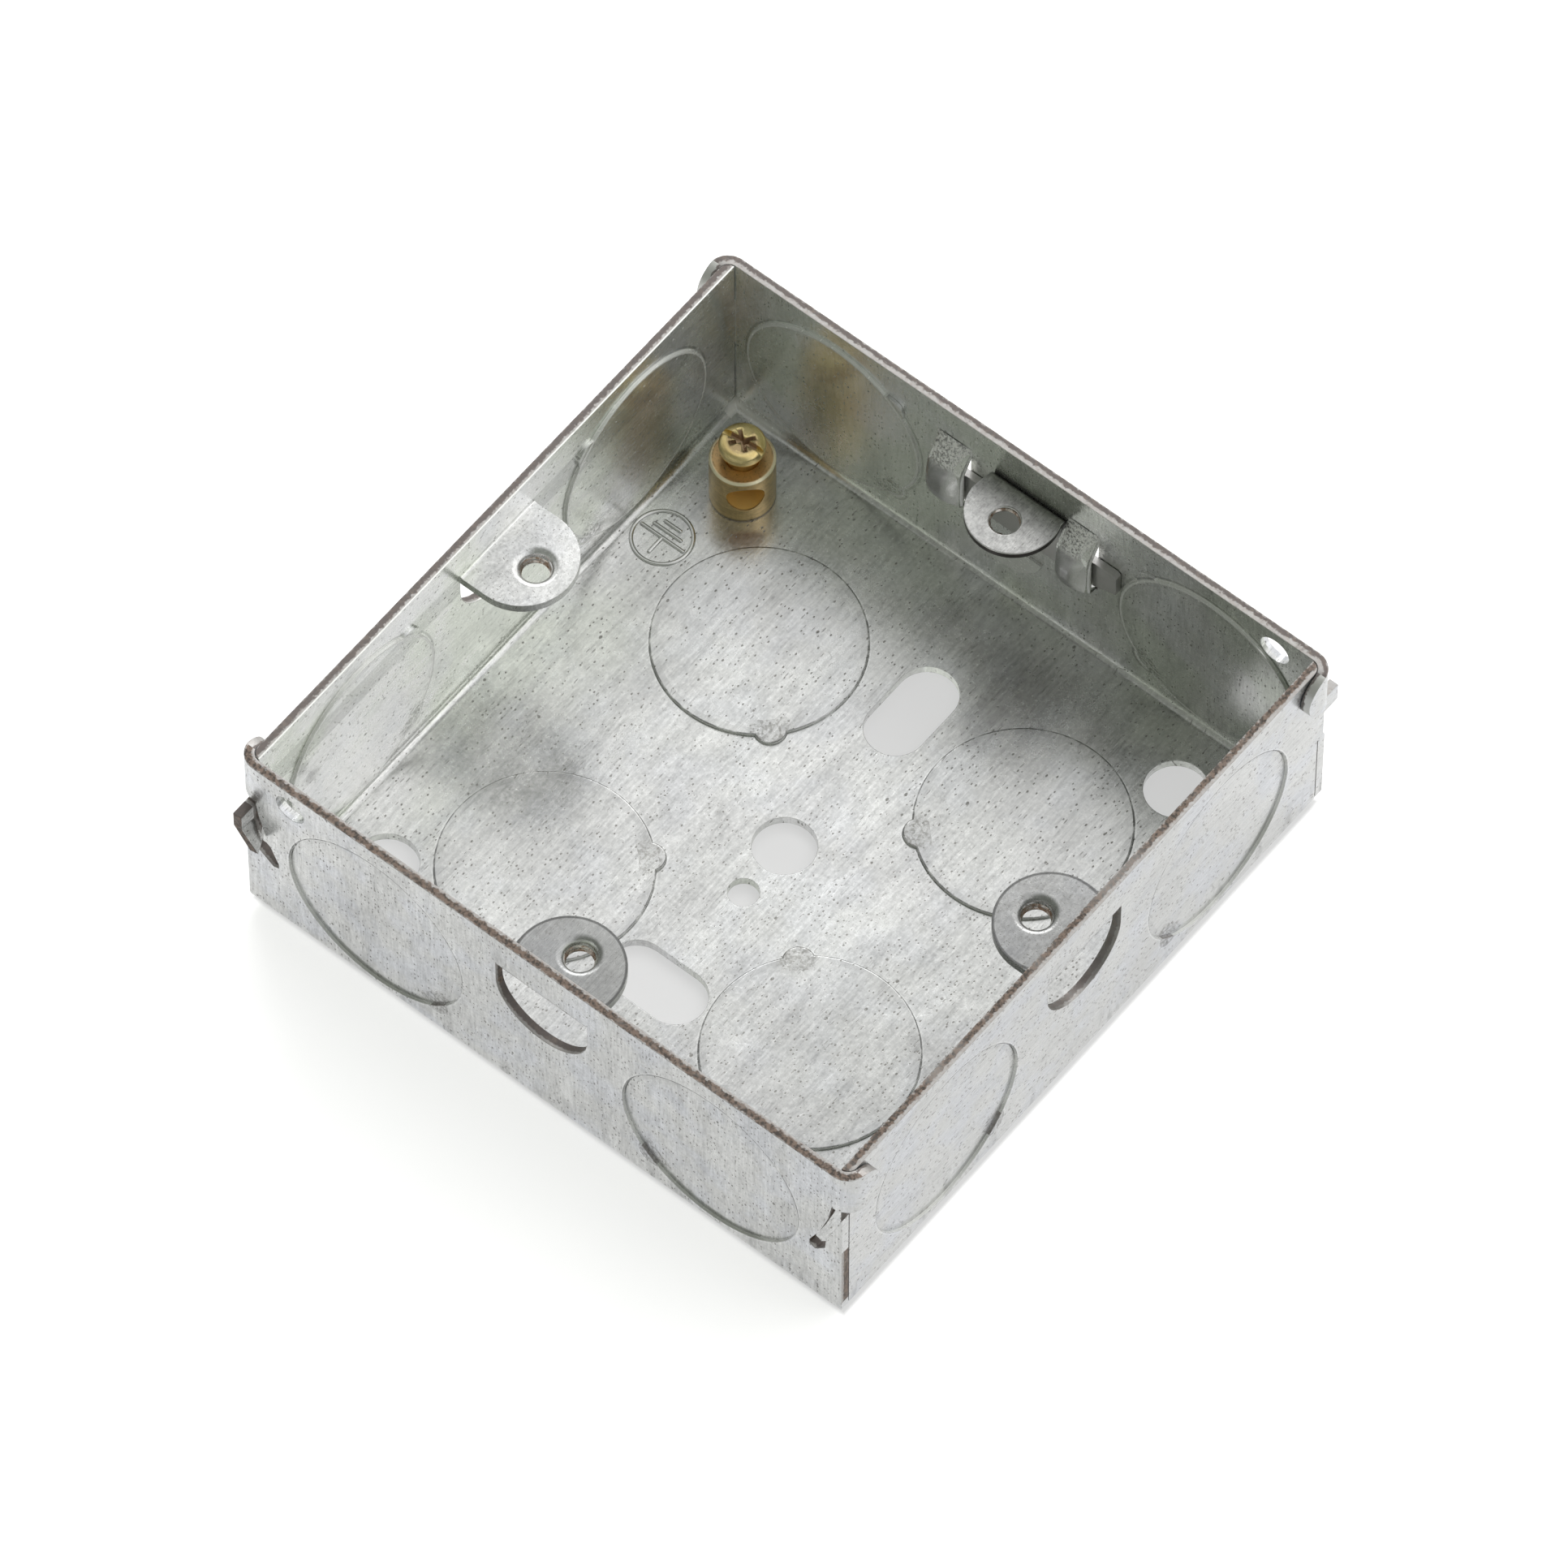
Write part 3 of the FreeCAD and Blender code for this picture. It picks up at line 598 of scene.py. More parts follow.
def seam_shading(paint, at, hair):
    """The zinc's lightness with its seams and a painted highlight beside them, with painted light on the inner walls
    that face the light, and with painted shade that holds the east outer face even and a little darker.
    """
    # Painted shade: the east outer face is held halfway to an even, darker lightness.
    east_face_shade = (at.x > BODY_X - 0.4) * 0.5
    light = at.zinc.lightness * (1.0 - east_face_shade) + east_face_shade * 0.85
    shade_line = at.inner_wall * paint.ramp(abs(at.seam - 0.3), 0.2, 0.06) * paint.ramp(at.patchy, 0.3, 0.5)
    bruise = slab(at.seam, -0.75, 0.0) * paint.ramp(at.zinc.grain * 0.5 + at.patchy * 0.5, 0.4, 0.6)
    for dark in (hair * 0.62 * (1.0 - at.step), bruise * 0.16, shade_line * 0.45):
        light = light * (1.0 - dark)
    # Painted highlight: a thin lighter line just outside each seam.
    seam_rim_highlight = paint.ramp(abs(at.seam - 0.16), 0.1, 0.03)
    # Painted light on the west and north inner walls.
    west_inner = at.inside * slab(at.x, -BODY_X, SHEET + 0.4 - BODY_X) * at.side_wall
    north_inner = at.dark_wall * at.end_wall * paint.ramp(at.x, 22.0, -14.0)
    return light + seam_rim_highlight * 0.12 + west_inner * paint.ramp(at.y, 28.0, 8.0) * 0.46 + north_inner * 0.5


def lug_darkening(paint, at):
    """How much the fixed lugs are darkened: on the plate, on its front, and with a line of painted shade along
    its rounded end.
    """
    lug = at.inside * slab(at.z, LUG_LOW, LUG_HIGH) * (at.y < 28.0)
    mottle = paint.ramp(paint.noise(at.point, 1.3, 5, 0.72), 0.38, 0.62)
    plate = lug * (at.x > -20.0) * (0.27 + mottle * 0.1)
    front = lug * (abs(at.up) < 0.3) * 0.2
    # Painted shade: a thin dark line along each lug's rounded end.
    tip = paint.least(*(length(at.x - x, at.y - y) for x, y in LUG_TIPS))
    return plate, front, lug * (at.up > 0.3) * paint.ramp(abs(tip - LUG_R + 0.1), 0.22, 0.08) * 0.6


def wear_and_shade(paint, at):
    """How much the zinc is darkened: a floor darker towards the south-east, the lugs with some painted shade, scuffs
    low on the outer walls, and smudges.
    """
    yield at.inside * (1.0 - at.inner_wall) * paint.ramp(at.x - at.y, 8.0, 40.0) * 0.2
    yield from lug_darkening(paint, at)
    streaks = paint.noise(paint.vector(at.x * 0.7, at.y * 0.7, at.z * 0.12), 1, 4, 0.65)
    yield paint.ramp(at.z, 6.0, 1.5) * (1.0 - at.inside) * paint.ramp(streaks, 0.5, 0.68) * 0.3
    yield near_spots(paint, at.point, SMUDGES) * paint.ramp(at.patchy, 0.2, 0.6) * 0.3


print("fixed lugs between", LUG_LOW, "and", LUG_HIGH, "mm up")


# %% Pale marks and dirt
def pale_marks_and_highlights(paint, at):
    """Dust, strap tops scored and lit by painted highlight, painted glints, a painted highlight on the north fold, a
    half round, scraped places, painted light on the knockouts' steps and painted highlights along the inner seams.
    """
    dust = at.dark_wall * dots(paint, paint.vector(at.across * 0.8, at.along * 0.8 + 4.0, 0.0), 0.2, 0.1)
    # Scored strap tops, lit partly as a painted highlight.
    strain = strap_tops(paint, at) * paint.ramp(paint.noise(at.point, 2.0, 4, 0.75), 0.46, 0.6)
    moon_x, moon_z, moon_r, moon_top = HALF_MOON
    moon = (at.y > 34.0) * (at.z < moon_top) * (length(at.x - moon_x, at.z - moon_z) < moon_r)
    # Painted highlight on the north fold near the west corner.
    fold_highlight = (at.y > 33.6) * slab(at.z, SHEET, 2.2) * paint.ramp(at.x, -26.0, -33.0)
    fold_highlight = fold_highlight * paint.ramp(at.patchy, 0.2, 0.45)
    lines = paint.noise(paint.vector(at.x * 3.0, 0.0, at.z * 0.4), 1, 3, 0.6)
    scrape = (at.y > 34.9) * slab(at.x, 7.1, 12.5) * paint.ramp(at.z, 21.0, 22.5) * paint.ramp(lines, 0.35, 0.6)
    # Painted highlight along the seams on the inner walls.
    seam_highlight = at.inner_wall * paint.ramp(abs(at.seam + 0.08), 0.24, 0.1)
    seam_highlight = seam_highlight * paint.ramp(at.patchy, 0.24, 0.46, 0.45, 1.0)
    # The glints are painted highlights, and the knockouts' steps are painted pale as painted light.
    return paint.most(dust * 0.9, strain * 0.4, near_spots(paint, at.point, GLINTS) * 0.9, fold_highlight * 0.85,
                      moon * 0.8, scrape * 0.45, at.step * 0.9, seam_highlight * 0.85)


def dirt_marks(paint, at):
    """Specks, and smudges on the knockouts' ties."""
    on_tie = paint.ramp(at.tie, 2.5, 1.3) * slab(at.seam, -1.6, 0.05) * paint.ramp(at.zinc.grain, 0.42, 0.62)
    return paint.most(at.zinc.specks * 0.7, on_tie * 0.55)


print("dirt", DIRT, "and pale marks", PALE)


# %% Brown and shining edges
def with_cut_edges(paint, at, colour):
    """The colour with its cut edges, their height, and the masks of the cut and the torn faces."""
    edge = cut_edges(paint, at)
    east, north = at.x > 0.0, at.y > 0.0
    ragged = paint.noise(at.point, 2.2, 6, 0.78)
    side_first = choose(east, 0.04, 0.36)
    side_torn = edge.side * torn_strip(paint, edge.side_depth, side_first, side_first + 0.6, ragged)
    end_first = choose(edge.rim, 0.3 + paint.most(edge.ear_end, north) * 0.45, 0.07)
    end_last = choose(edge.rim, 1.1, choose(north, 0.75, 0.55))
    end_torn = edge.end * torn_strip(paint, edge.end_depth, end_first, end_last, ragged)
    cut, torn = paint.most(edge.side, edge.end), paint.most(side_torn, end_torn)

    west_side = edge.side * (at.x < 0.0)
    # A pale line along the west rim's inner edge, and painted light on the end of the north ear.
    white_line = paint.most(west_side * paint.ramp(edge.side_depth, 0.8, 0.9), edge.ear_end * north * 0.7)
    clean = paint.mix(paint.ramp(at.zinc.grain, 0.3, 0.7) * 0.45, EDGE_SHEARED, EDGE_BROWN)
    sheared = paint.mix(cut * 0.85, colour, paint.mix(white_line, clean, PALE))
    window = (1.0 - edge.rim) * (at.up > 0.25) * (at.z > FOLD_TOP + 1.0)
    soft = paint.most(west_side, edge.end * north, window)
    rust = paint.mix(paint.ramp(at.zinc.grain, 0.4, 0.58), EDGE_DARK, EDGE_BROWN)
    rust = paint.mix(soft * paint.ramp(at.patchy, 0.25, 0.55, 0.4, 0.85), rust, EDGE_SOFT)
    rubbed = edge.side * east * paint.ramp(paint.noise(at.point, 0.12, 3), 0.42, 0.6) * 0.55
    shown = torn * (1.0 - rubbed) * paint.ramp(at.patchy, 0.2, 0.5, 0.7, 0.95)
    return paint.mix(shown, sheared, rust), ragged * cut * 4.0, cut, torn


print("torn edges", EDGE_DARK, "to", EDGE_BROWN)


# %% The galvanised box
def galvanised_sheet():
    material, paint = new_material("galvanised_sheet")
    at = look_up(paint)
    hair = seam_hair(paint, at)
    light = seam_shading(paint, at, hair)
    for dull in wear_and_shade(paint, at):
        light = light * (1.0 - dull)
    # pale holds dust and scrapes together with painted highlights and painted light.
    dirt, pale = dirt_marks(paint, at), pale_marks_and_highlights(paint, at)
    soiled = paint.mix(dirt, paint.shade(tinted_zinc(paint, at), light), DIRT)
    colour, edge_height, cut, torn = with_cut_edges(paint, at, paint.mix(pale, soiled, PALE))
    roughness = (0.19 + at.zinc.blotch * 0.12 + (at.zinc.grain - 0.5) * 0.15
                 + dirt * 0.25 + cut * 0.2 + torn * 0.1)
    skin = bumped(paint, at.zinc.height - hair * 2.0 + edge_height, 0.4, 0.02, EDGE_ROUND)
    metallic = 0.86 - torn * 0.4 - dirt * 0.4 - pale * 0.6
    finish_with(paint, Base_Color=colour, Metallic=metallic, Roughness=roughness, Normal=skin)
    return material


def give(node, material):
    """Puts a material on a node of the measured model."""
    slots = frame["nodes"][node].material_slots
    slots[0].material = material
    print(node, "wears", material.name)


give("back_box", galvanised_sheet())


# %% [markdown]
# ## The sliding lug
#
# The loose lug is stamped from thinner sheet and plated after stamping, so its edges are not brown. It is a little
# duller than the box and full of small pits.


# %% The lug's plating
PLATING, LUG_BAR, LUG_UNDERSIDE = (0.56, 0.56, 0.55), (0.55, 0.54, 0.53), (0.85, 0.85, 0.84)
LUG_EDGE_SHADE, LUG_LIP_HIGHLIGHT = (0.07, 0.062, 0.058), (0.9, 0.9, 0.88)
LUG_CROWDING = 0.9


def lug_plating():
    material, paint = new_material("lug_plating")
    at = unfold(paint)
    zinc = zinc_layers(paint, at, LUG_CROWDING)
    pitted = paint.mix(zinc.specks * 0.7, paint.shade(PLATING, zinc.lightness), DIRT)
    mottle = paint.ramp(paint.noise(at.point, 1.6, 5, 0.75), 0.36, 0.64)
    # Painted shade: the plate darkens towards its root at the wall.
    upper = paint.shade(pitted, paint.ramp(at.y, 30.0, 35.2, 0.9, 0.6) * (0.7 + mottle * 0.3))
    up = paint.normals("True Normal")[2]
    # Painted shade on the plate's edge face, with a painted highlight along its top.
    edge = (abs(up) < 0.6) * (at.z > 20.0)
    upper = paint.mix(edge, upper, paint.mix(at.z > 20.72, LUG_EDGE_SHADE, LUG_LIP_HIGHLIGHT))
    upper = paint.mix(up < -0.5, upper, LUG_UNDERSIDE)
    shaded = paint.mix(paint.ramp(at.z, 17.0, 19.5), LUG_BAR, upper)
    skin = bumped(paint, zinc.height, 0.4, 0.02, EDGE_ROUND)
    finish_with(paint, Base_Color=shaded, Metallic=1.0, Roughness=0.33 + zinc.grain * 0.12, Normal=skin)
    return material


give("adjustable_lug", lug_plating())


# %% [markdown]
# ## Brass
#
# The pillar of the terminal is turned and has dulled to a brown gold. Its turning lines are rings about its axis.
# The screw is newer and yellower, with dirt in its drive.


# %% Turned brass for the pillar
def turned_brass(name, bright, brown, axis_at, roughness, ring_scale, tones):
    material, paint = new_material(name)
    point, x, y, z = paint.places()
    out_x, out_y = x - axis_at.x, y - axis_at.y
    radius = length(out_x, out_y)
    rings = paint.noise(paint.vector(radius * ring_scale, 0.0, z * ring_scale), 1, 2)
    cloud = paint.noise(point, 0.6, 4, 0.6)
    grain = paint.noise(point, 9.0, 2)
    colour = paint.mix(paint.ramp(cloud * 0.6 + rings * 0.4, 0.35, 0.65), bright, brown)
    metallic = 1.0
    for place, tone, dull in tones(paint, radius, z, cloud):
        colour = paint.mix(place, colour, tone)
        metallic = metallic - place * dull
    skin = bumped(paint, rings + grain * 0.4, 0.25, 0.02, EDGE_ROUND)
    finish_with(paint, Base_Color=colour, Metallic=metallic, Roughness=roughness + grain * 0.12, Normal=skin)
    return material


def pillar_tones(paint, radius, z, cloud):
    """A browner top, painted golden light in the wire hole, a speckled side, a painted highlight round the top edge
    and painted shade at the foot.
    """
    inner = (radius < PILLAR_R - 0.15) * (z < PILLAR_TOP - 0.1)
    specks = paint.ramp(paint.noise(paint.vector(radius * 3.0, cloud * 40.0, z * 6.0), 1, 3, 0.7), 0.56, 0.66)
    top_edge_highlight = paint.ramp(abs(z - PILLAR_TOP + 0.12), 0.2, 0.08)
    top_edge_highlight = top_edge_highlight * paint.ramp(radius, PILLAR_R - 0.35, PILLAR_R - 0.2)
    yield (z > PILLAR_TOP - 0.1) * 0.8, (0.64, 0.42, 0.21), 0.15
    # Painted light: the inside of the wire hole is golden.
    yield inner * 0.9, (0.98, 0.66, 0.2), 0.8
    yield (1.0 - inner) * specks * 0.8, (0.2, 0.15, 0.08), 0.4
    # Painted highlight round the top edge.
    yield top_edge_highlight * 0.9, (1.0, 0.93, 0.66), 0.35
    # Painted shade: a dark band at the foot, where the pillar meets the floor.
    yield paint.ramp(z, SHEET + 0.35, SHEET + 0.1) * 0.8, (0.12, 0.09, 0.05), 0.5


terminal_axis = place_of("earth_wire_hole")
pillar_low, pillar_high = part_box("earth_terminal")
PILLAR_R, PILLAR_TOP = (pillar_high.x - pillar_low.x) / 2 / MM, pillar_high.z / MM
give("earth_terminal", turned_brass(
    "terminal_brass", (0.74, 0.55, 0.26), (0.48, 0.35, 0.16), terminal_axis, 0.24, 4.0, pillar_tones))

# %% [markdown]
# ## Threads in the lugs
#
# A tapped hole shows as a few bright and dark bands on its far side. A helix of small ridges is enough, because only
# two or three turns fit in the sheet. The ridge is a triangle that is swept up the hole, with its base in the wall.

# %% Sweeping a ridge up a hole
THREAD_PITCH = 0.6
THREAD_TALL = 0.15
THREAD_HALF = THREAD_PITCH * 0.42
THREAD_SINK = 0.03
THREAD_STEPS = 64


def mesh_piece(name, points, faces, material, smooth=True):
    """A mesh from points in millimetres."""
    mesh = bpy.data.meshes.new(name)
    mesh.from_pydata([tuple(c * MM for c in p) for p in points], [], faces)
    mesh.validate()
    mesh.update()
    for polygon in mesh.polygons:
        polygon.use_smooth = smooth
    mesh.materials.append(material)
    piece = bpy.data.objects.new(name, mesh)
    bpy.context.scene.collection.objects.link(piece)
    return piece


def thread_piece(name, hole, low, high, body, material):
    """A helical ridge inside a hole, from height low to height high."""
    turns = (high - low) / THREAD_PITCH
    count = max(3, round(turns * THREAD_STEPS))
    section = ((-THREAD_HALF, -THREAD_SINK), (0, THREAD_TALL), (THREAD_HALF, -THREAD_SINK))
    points, faces = [], []
    for step in range(count + 1):
        angle = math.tau * turns * step / count
        fade = min(1.0, 6 * min(step, count - step) / THREAD_STEPS)
        middle = low + (high - low) * step / count
        for offset, tall in section:
            reach = THREAD_R - (tall * fade if tall > 0 else tall)
            points.append((hole.x + reach * math.cos(angle), hole.y + reach * math.sin(angle), middle + offset))
        if step:
            now, was = 3 * step, 3 * step - 3
            faces += [(was + i, was + (i + 1) % 3, now + (i + 1) % 3, now + i) for i in range(3)]
    faces += [(0, 2, 1), (3 * count, 3 * count + 1, 3 * count + 2)]
    piece = mesh_piece(name, points, faces, material, smooth=False)
    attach(piece, body)
    "lug_sheet" if body == "lug" else "galvanised_sheet"
    print(name, round(turns, 1), "turns")


# %% Cutting the four threads
def tapped_steel():
    material, paint = new_material("tapped_steel")
    stain = paint.ramp(paint.noise(paint.places()[0], 1.5, 4, 0.7), 0.4, 0.62)
    colour = paint.mix(stain, (0.78, 0.74, 0.70), (0.36, 0.24, 0.17))
    finish_with(paint, Base_Color=colour, Metallic=1.0, Roughness=0.2 + stain * 0.15)
    return material


tapped = tapped_steel()
for side, hole in lug_holes.items():
    tapped_length = mounts["sliding_lug_hole" if side == "north" else "lug_hole_s"]["dims"]["length_mm"]
    thread_piece("thread_" + side, hole, hole.z - tapped_length / 2 + 0.1, hole.z + tapped_length / 2,
                 "lug" if side == "north" else "box", tapped)

# %% [markdown]
# ## The earth symbol
#
# Beside the terminal the press raised the common earth sign: a ring with a stem and three bars. Its lines are rounded
# ridges about a tenth of a millimetre high. Each line is a stack of narrowing outlines, which gives the rounded
# section and the round ends in one go.

# %% Raising a ridge along a line
SIGN_AT = Vector((-30.68, 18.98, SHEET))
RIDGE_TALL, RIDGE_HALF = 0.19, 0.22
SINK = 0.03


def ridge_line(start, end, points, faces, steps=8, layers=5):
    """A rounded ridge with round ends from start to end, added to points and faces."""
    along = (end - start).normalized()
    left = Vector((-along.y, along.x, 0))
    ring = 2 * (steps + 1)
    base = len(points)
    for layer in range(layers + 1):
        lean = math.radians(80) * layer / layers
        half, rise = RIDGE_HALF * math.cos(lean), RIDGE_TALL * math.sin(lean) - SINK * (layer == 0)
        for tip, way in ((end, 1), (start, -1)):
            for step in range(steps + 1):
                swing = math.pi * step / steps - math.pi / 2
                spot = tip + (along * math.cos(swing) + left * math.sin(swing)) * half * way
                points.append((spot.x, spot.y, spot.z + rise))
    for layer in range(layers):
        low, high = base + layer * ring, base + (layer + 1) * ring
        for i in range(ring):
            j = (i + 1) % ring
            faces.append((low + i, low + j, high + j, high + i))
    faces.append([base + layers * ring + i for i in range(ring)])
    faces.append([base + i for i in reversed(range(ring))])


def ridge_ring(middle, radius, points, faces, steps=96, layers=8):
    """A rounded ridge round a circle."""
    base, across = len(points), layers + 1
    for step in range(steps):
        angle = math.tau * step / steps
        for layer in range(across):
            lean = math.pi * layer / layers
            reach = radius + RIDGE_HALF * math.cos(lean)
            rise = RIDGE_TALL * math.sin(lean) - SINK * (layer in (0, layers))
            points.append((middle.x + reach * math.cos(angle), middle.y + reach * math.sin(angle),
                           middle.z + rise))
    for step in range(steps):
        here, there = base + step * across, base + (step + 1) % steps * across
        for layer in range(layers):
            faces.append((here + layer, there + layer, there + layer + 1, here + layer + 1))
        faces.append((here + layers, there + layers, there, here))


# %% Drawing the sign
RING_R = 3.0
BAR_GAP = 0.81
BARS = (5.0, 3.2, 1.8)
STEM = 2.0

points, faces = [], []
ridge_ring(SIGN_AT, RING_R, points, faces)
for number, bar in enumerate(BARS):
    middle = SIGN_AT + Vector((0, BAR_GAP * number, 0))
    half_bar = Vector((bar / 2, 0, 0))
    ridge_line(middle - half_bar, middle + half_bar, points, faces)
ridge_line(SIGN_AT, SIGN_AT - Vector((0, STEM, 0)), points, faces)
sign_zinc, paint = new_material("sign_zinc")
rub = paint.noise(paint.places()[0], 1.5, 3)
finish_with(paint, Base_Color=(0.66, 0.665, 0.65), Metallic=0.9, Roughness=0.16 + rub * 0.14)
sign = mesh_piece("earth_symbol", points, faces, sign_zinc)
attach(sign, "box")
print("earth symbol", len(faces), "faces")

# %% [markdown]
# ## Rounded straps
#
# The two straps hold the sliding lug's bar against the wall. The press pulled them out of the sheet, so they are
# pillows rather than flat bridges. Each gets a skin that lies just over the model's strap. Its height follows the
# strap from the wall, over the bar, and back to the wall. Across the strap the skin is an arch that rises steeply on
# its west side and slopes down gently on its east side, where the bar comes out.

# %% Laying a rounded skin over each strap
STRAP_PROFILE = [(STRAP_LOW - 0.15, 0.0), (12.0, 1.0), (12.5, 1.7), (13.3, 2.25), (14.8, 2.65), (16.4, 2.6),
                 (17.6, 2.3), (18.6, 1.8), (19.5, 1.2), (20.4, 0.56), (STRAP_TOP + 0.15, 0.0)]
STRAP_HOLLOW = [(STRAP_LOW - 0.15, -0.02), (12.3, 0.0), (12.9, 1.3), (18.1, 1.3), (20.3, 0.0),
                (STRAP_TOP + 0.15, -0.02)]
SMOOTH_OVER = (-0.3, -0.15, 0, 0.15, 0.3)
STEEP, GENTLE = 2.8, 1.6
NARROW_OVER, NARROW_BY = 1.6, 0.22


def height_at(z, profile):
    """How far a profile of (z, height) points stands off the wall at z, along straight lines between them."""
    for (z0, n0), (z1, n1) in zip(profile, profile[1:]):
        if z0 <= z <= z1:
            return n0 + (n1 - n0) * (z - z0) / (z1 - z0)
    return profile[-1][1]


def strap_skin(name, left, right, material, rows=56, columns=28):
    points, faces = [], []
    middle, half = (left + right) / 2, (right - left) / 2
    low, high = STRAP_PROFILE[0][0], STRAP_PROFILE[-1][0]
    for row in range(rows + 1):
        z = low + (high - low) * row / rows
        around = [height_at(min(max(z + dz, low), high), STRAP_PROFILE) for dz in SMOOTH_OVER]
        top, base = sum(around) / len(around), height_at(z, STRAP_HOLLOW)
        narrow = half * (1 - NARROW_BY * max(0.0, 1 - (z - low) / NARROW_OVER) ** 2)
        for column in range(columns + 1):
            share = -math.cos(math.pi * column / columns)
            power = STEEP if share < 0 else GENTLE
            arch = (1 - abs(share) ** power) ** (1 / power)
            points.append((middle + narrow * share, WALL_IN - base - max(0.0, top - base) * arch, z))
    for row in range(rows):
        for column in range(columns):
            here = row * (columns + 1) + column
            faces.append((here, here + 1, here + columns + 2, here + columns + 1))
    skin = mesh_piece(name, points, faces, material)
    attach(skin, "box")
    print(name, len(faces), "faces")


# %% Zinc of the straps, with painted highlights
def strap_zinc():
    """Painted light and a painted highlight on the side where the bar comes out, a painted highlight along the
    lower lip, and scratches over the top that also carry a painted highlight.
    """
    material, paint = new_material("strap_zinc")
    point, x, y, z = paint.places()
    nx = paint.normals()[0]
    streak = paint.noise(paint.vector(x * 2.2, y * 2.2, z * 0.4), 1, 4, 0.7)
    grain = paint.noise(point, 4.0, 5, 0.75)
    # Painted light: the tone is lighter where the skin faces east.
    tone = 0.35 + streak * 0.5 + paint.ramp(nx, 0.0, 0.45) * 0.7
    # Real scoring over the top, painted bright as a highlight.
    scored = paint.ramp(z, 17.9, 18.9) * paint.ramp(grain, 0.42, 0.52)
    # Painted highlight on the east side.
    east_side_highlight = paint.ramp(nx, 0.2, 0.6) * paint.ramp(grain, 0.3, 0.5, 0.5, 1.0) * 0.5
    # Painted highlight along the lower lip.
    lip = paint.ramp(abs(z - 12.9), 0.8, 0.2) * paint.ramp(abs(nx), 0.7, 0.3)
    bright = paint.most(paint.most(scored * 0.95, east_side_highlight), lip * 0.7)
    colour = paint.mix(bright, paint.shade(ZINC, tone), (1.0, 1.0, 0.98))
    skin = bumped(paint, streak + grain * (1.0 + scored * 2.0), 0.5, 0.03)
    finish_with(paint, Base_Color=colour, Metallic=0.92 - bright * 0.5, Roughness=0.26, Normal=skin)
    return material


strap_skin_zinc = strap_zinc()
strap_skin("strap_skin_west", STRAPS[0][0] - 0.2, STRAPS[0][1] + 0.16, strap_skin_zinc)
strap_skin("strap_skin_east", STRAPS[1][0], STRAPS[1][1] + 0.16, strap_skin_zinc)

# %% [markdown]
# ## The terminal screw
#
# The head takes two drivers: a straight slot crosses a tapered cross recess. The head is turned from a profile, and
# the two drives are cut out of it with the Boolean modifier, which is how such recesses stay sharp. The thread runs
# down into the pillar.

# %% Turning the head and shank
screw_low, screw_high = (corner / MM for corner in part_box("terminal_screw"))
HEAD_R = (screw_high.x - screw_low.x) / 2
HEAD_T = 1.3
SCREW_TOP = screw_high.z
HEAD_LOW = SCREW_TOP - HEAD_T
screw_at = Vector(((screw_low.x + screw_high.x) / 2, (screw_low.y + screw_high.y) / 2, 0))


def quarter(middle_r, middle_z, radius, first, last, steps=6):
    """Points of an arc in a turned profile."""
    for step in range(steps + 1):
        angle = math.radians(first + (last - first) * step / steps)
        yield middle_r + radius * math.cos(angle), middle_z + radius * math.sin(angle)


def turned(name, profile, at, material, steps=96):
    """A solid of revolution from (radius, height) points, closed at both ends."""
    points, faces = [], []
    for r, z in profile:
        for step in range(steps):
            angle = math.tau * step / steps
            points.append((at.x + r * math.cos(angle), at.y + r * math.sin(angle), z))
    for row in range(len(profile) - 1):
        for step in range(steps):
            here, there = row * steps + step, row * steps + (step + 1) % steps
            faces.append((here, there, there + steps, here + steps))
    faces.append(list(reversed(range(steps))))
    faces.append([(len(profile) - 1) * steps + step for step in range(steps)])
    return mesh_piece(name, points, faces, material)


def screw_tones(paint, radius, z, cloud):
    """Brown dirt in the drive and about it, and a golden neck."""
    grime = paint.ramp(cloud, 0.42, 0.56) * paint.ramp(radius, 1.75, 1.3)
    yield (z > SCREW_TOP - 0.1) * grime * 0.7, (0.42, 0.29, 0.17), 0.4
    yield (z < SCREW_TOP - 0.1) * (radius < 1.45) * (z > HEAD_LOW) * 0.75, (0.42, 0.27, 0.2), 0.6
    yield (z < HEAD_LOW) * 0.8, (0.98, 0.66, 0.2), 0.5


TOP_ROUND, LOW_ROUND, NECK_R = 0.62, 0.2, 1.6
screw_brass = turned_brass(
    "screw_brass", (0.92, 0.76, 0.38), (0.76, 0.59, 0.26), screw_at, 0.18, 2.5, screw_tones)
crown = [(HEAD_R - TOP_ROUND - 0.2, SCREW_TOP), (0.6, SCREW_TOP - 0.001)]
profile = [(NECK_R - 0.3, screw_low.z), (NECK_R, screw_low.z + 0.3), (NECK_R, HEAD_LOW)]
profile += list(quarter(HEAD_R - LOW_ROUND, HEAD_LOW + LOW_ROUND, LOW_ROUND, -90, 0))
profile += list(quarter(HEAD_R - TOP_ROUND, SCREW_TOP - TOP_ROUND - 0.03, TOP_ROUND, 0, 82, 10))
profile += crown
screw = turned("earth_screw", profile, screw_at, screw_brass)
print("screw head", round(2 * HEAD_R, 2), "mm across")

# %% Cutting the two drives
DRIVE_TURN = math.radians(6)
SLOT_WIDE, SLOT_DEEP = 0.6, 0.62
CROSS_R, CROSS_DEEP, CROSS_WIDE = 1.32, 1.05, 0.42


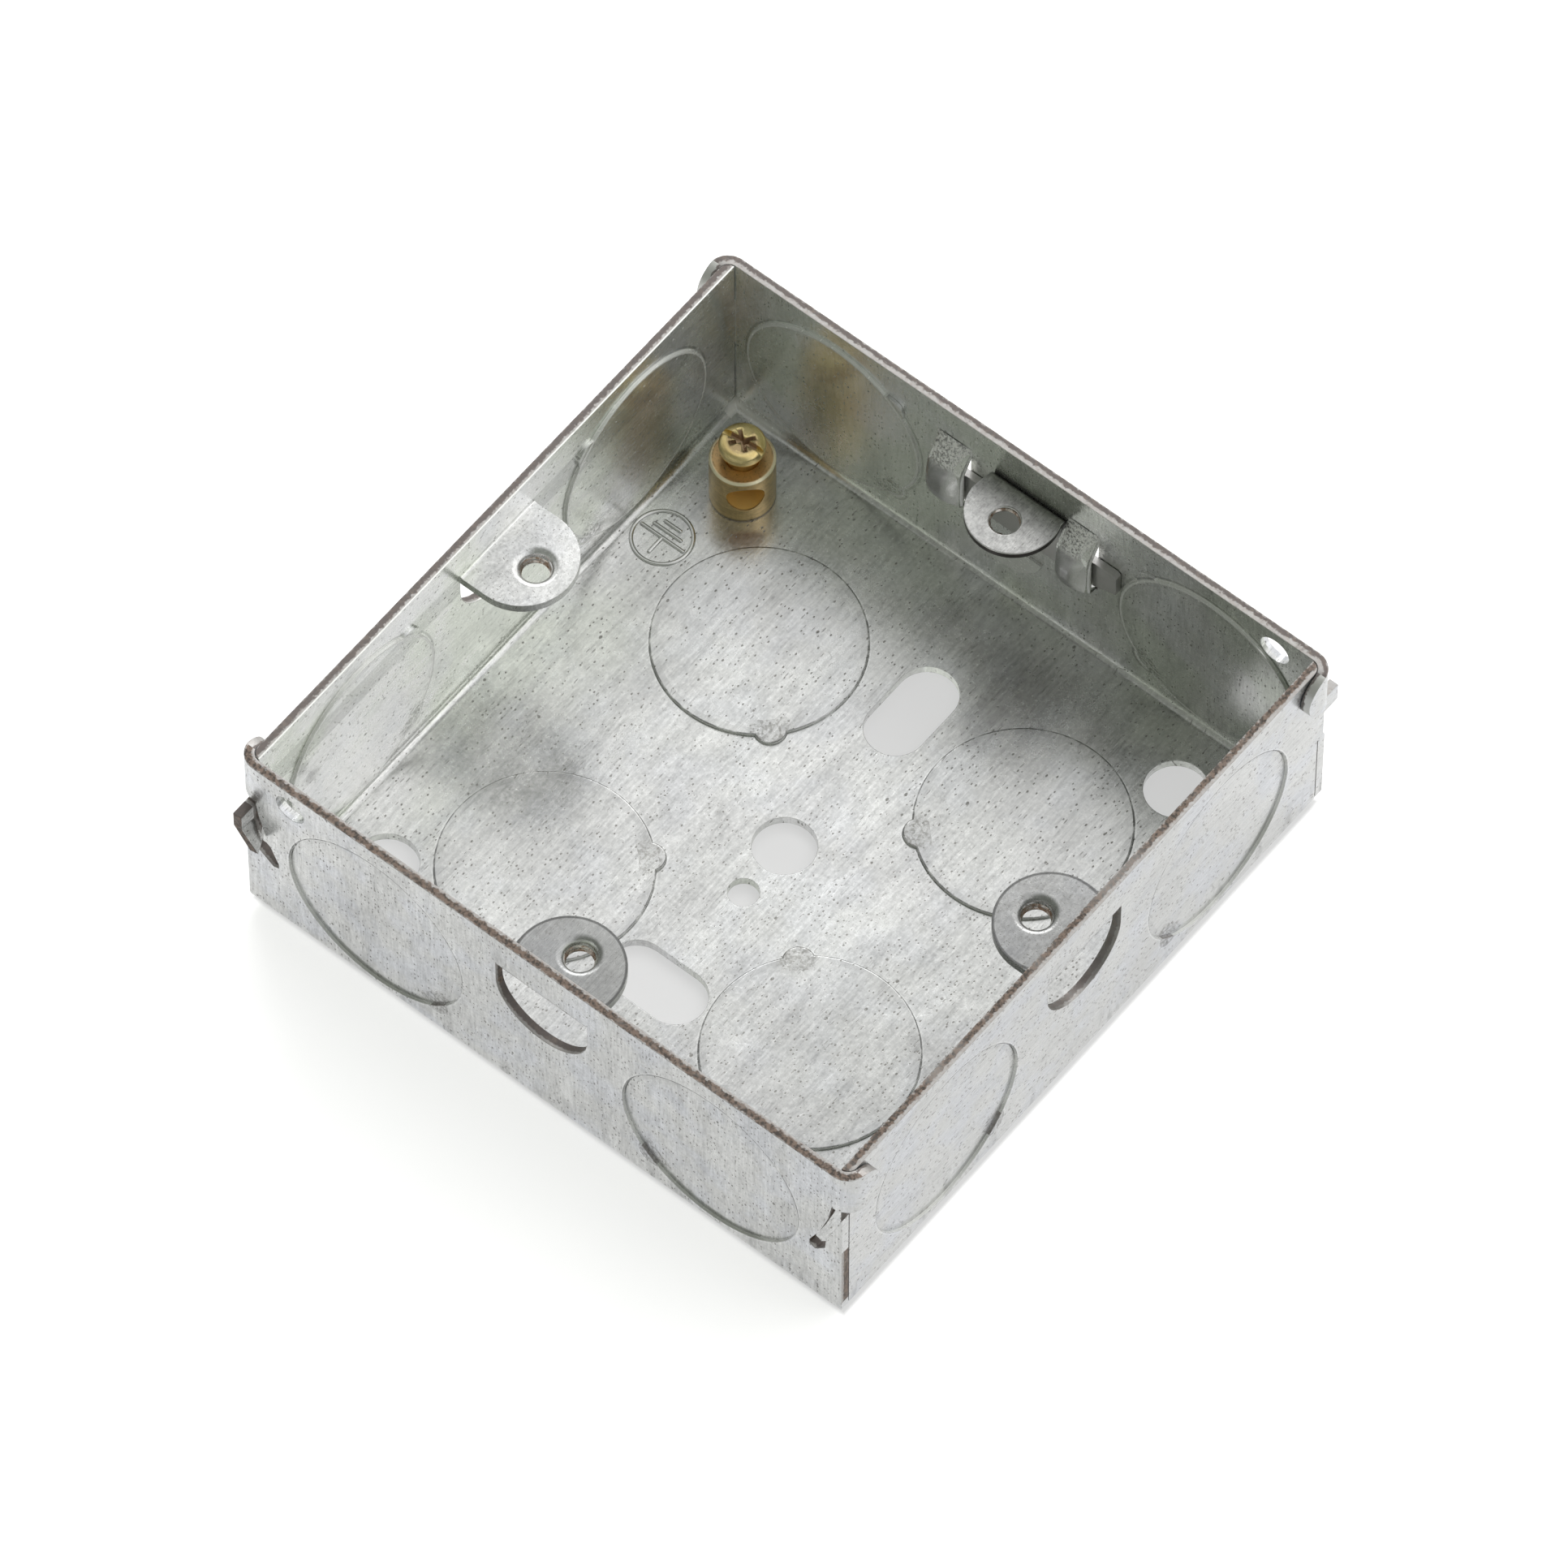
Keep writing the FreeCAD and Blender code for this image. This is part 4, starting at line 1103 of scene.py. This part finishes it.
def tapered_block(half_long, half_wide, deep, taper_long, taper_wide):
    """A block about the origin with its top at height 0.2, narrower at depth deep."""
    mesh = bmesh.new()
    rows = []
    for height, share in ((0.2, 0.0), (0.0, 0.0), (-deep, 1.0)):
        a, b = half_long - taper_long * share, half_wide - taper_wide * share
        corners = ((a, b), (-a, b), (-a, -b), (a, -b))
        rows.append([mesh.verts.new((x, y, height)) for x, y in corners])
    for low, high in ((rows[1], rows[0]), (rows[2], rows[1])):
        for i in range(4):
            j = (i + 1) % 4
            mesh.faces.new((low[i], low[j], high[j], high[i]))
    mesh.faces.new(rows[0])
    mesh.faces.new(reversed(rows[2]))
    return mesh


def cut_from(piece, cutter_mesh, angle):
    """Cuts a block out of the screw's top."""
    data = bpy.data.meshes.new("cutter")
    cutter_mesh.to_mesh(data)
    cutter_mesh.free()
    cutter = bpy.data.objects.new("cutter", data)
    bpy.context.scene.collection.objects.link(cutter)
    cutter.matrix_world = (Matrix.Translation(Vector((screw_at.x, screw_at.y, SCREW_TOP)) * MM)
                           @ Matrix.Rotation(angle, 4, "Z") @ Matrix.Scale(MM, 4))
    cut = piece.modifiers.new("cut", "BOOLEAN")
    cut.operation, cut.object, cut.solver = "DIFFERENCE", cutter, "EXACT"
    bpy.context.view_layer.update()
    result = bpy.data.meshes.new_from_object(piece.evaluated_get(bpy.context.evaluated_depsgraph_get()))
    piece.modifiers.clear()
    piece.data = result
    bpy.data.objects.remove(cutter)


cut_from(screw, tapered_block(HEAD_R + 1, SLOT_WIDE / 2, SLOT_DEEP, 0, 0.03), DRIVE_TURN)
for arm in range(2):
    cut_from(screw, tapered_block(CROSS_R, CROSS_WIDE / 2, CROSS_DEEP, 0.75, 0.1),
             DRIVE_TURN + math.radians(45 + 90 * arm))
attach(screw, "screw")
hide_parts("terminal_screw")
print("screw", len(screw.data.polygons), "faces")

# %% [markdown]
# ## Finishing the scene
#
# The picture uses plain colour management, so that a painted grey comes out as that grey. Both boxes are written
# down so that the dressed model can be compared with the measured one.

# %% Closing the scene
bpy.context.scene.view_settings.view_transform = "Standard"
visual_box = [list(corner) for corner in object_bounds()]
print("visual box in mm:", [[round(v / MM, 2) for v in corner] for corner in visual_box])
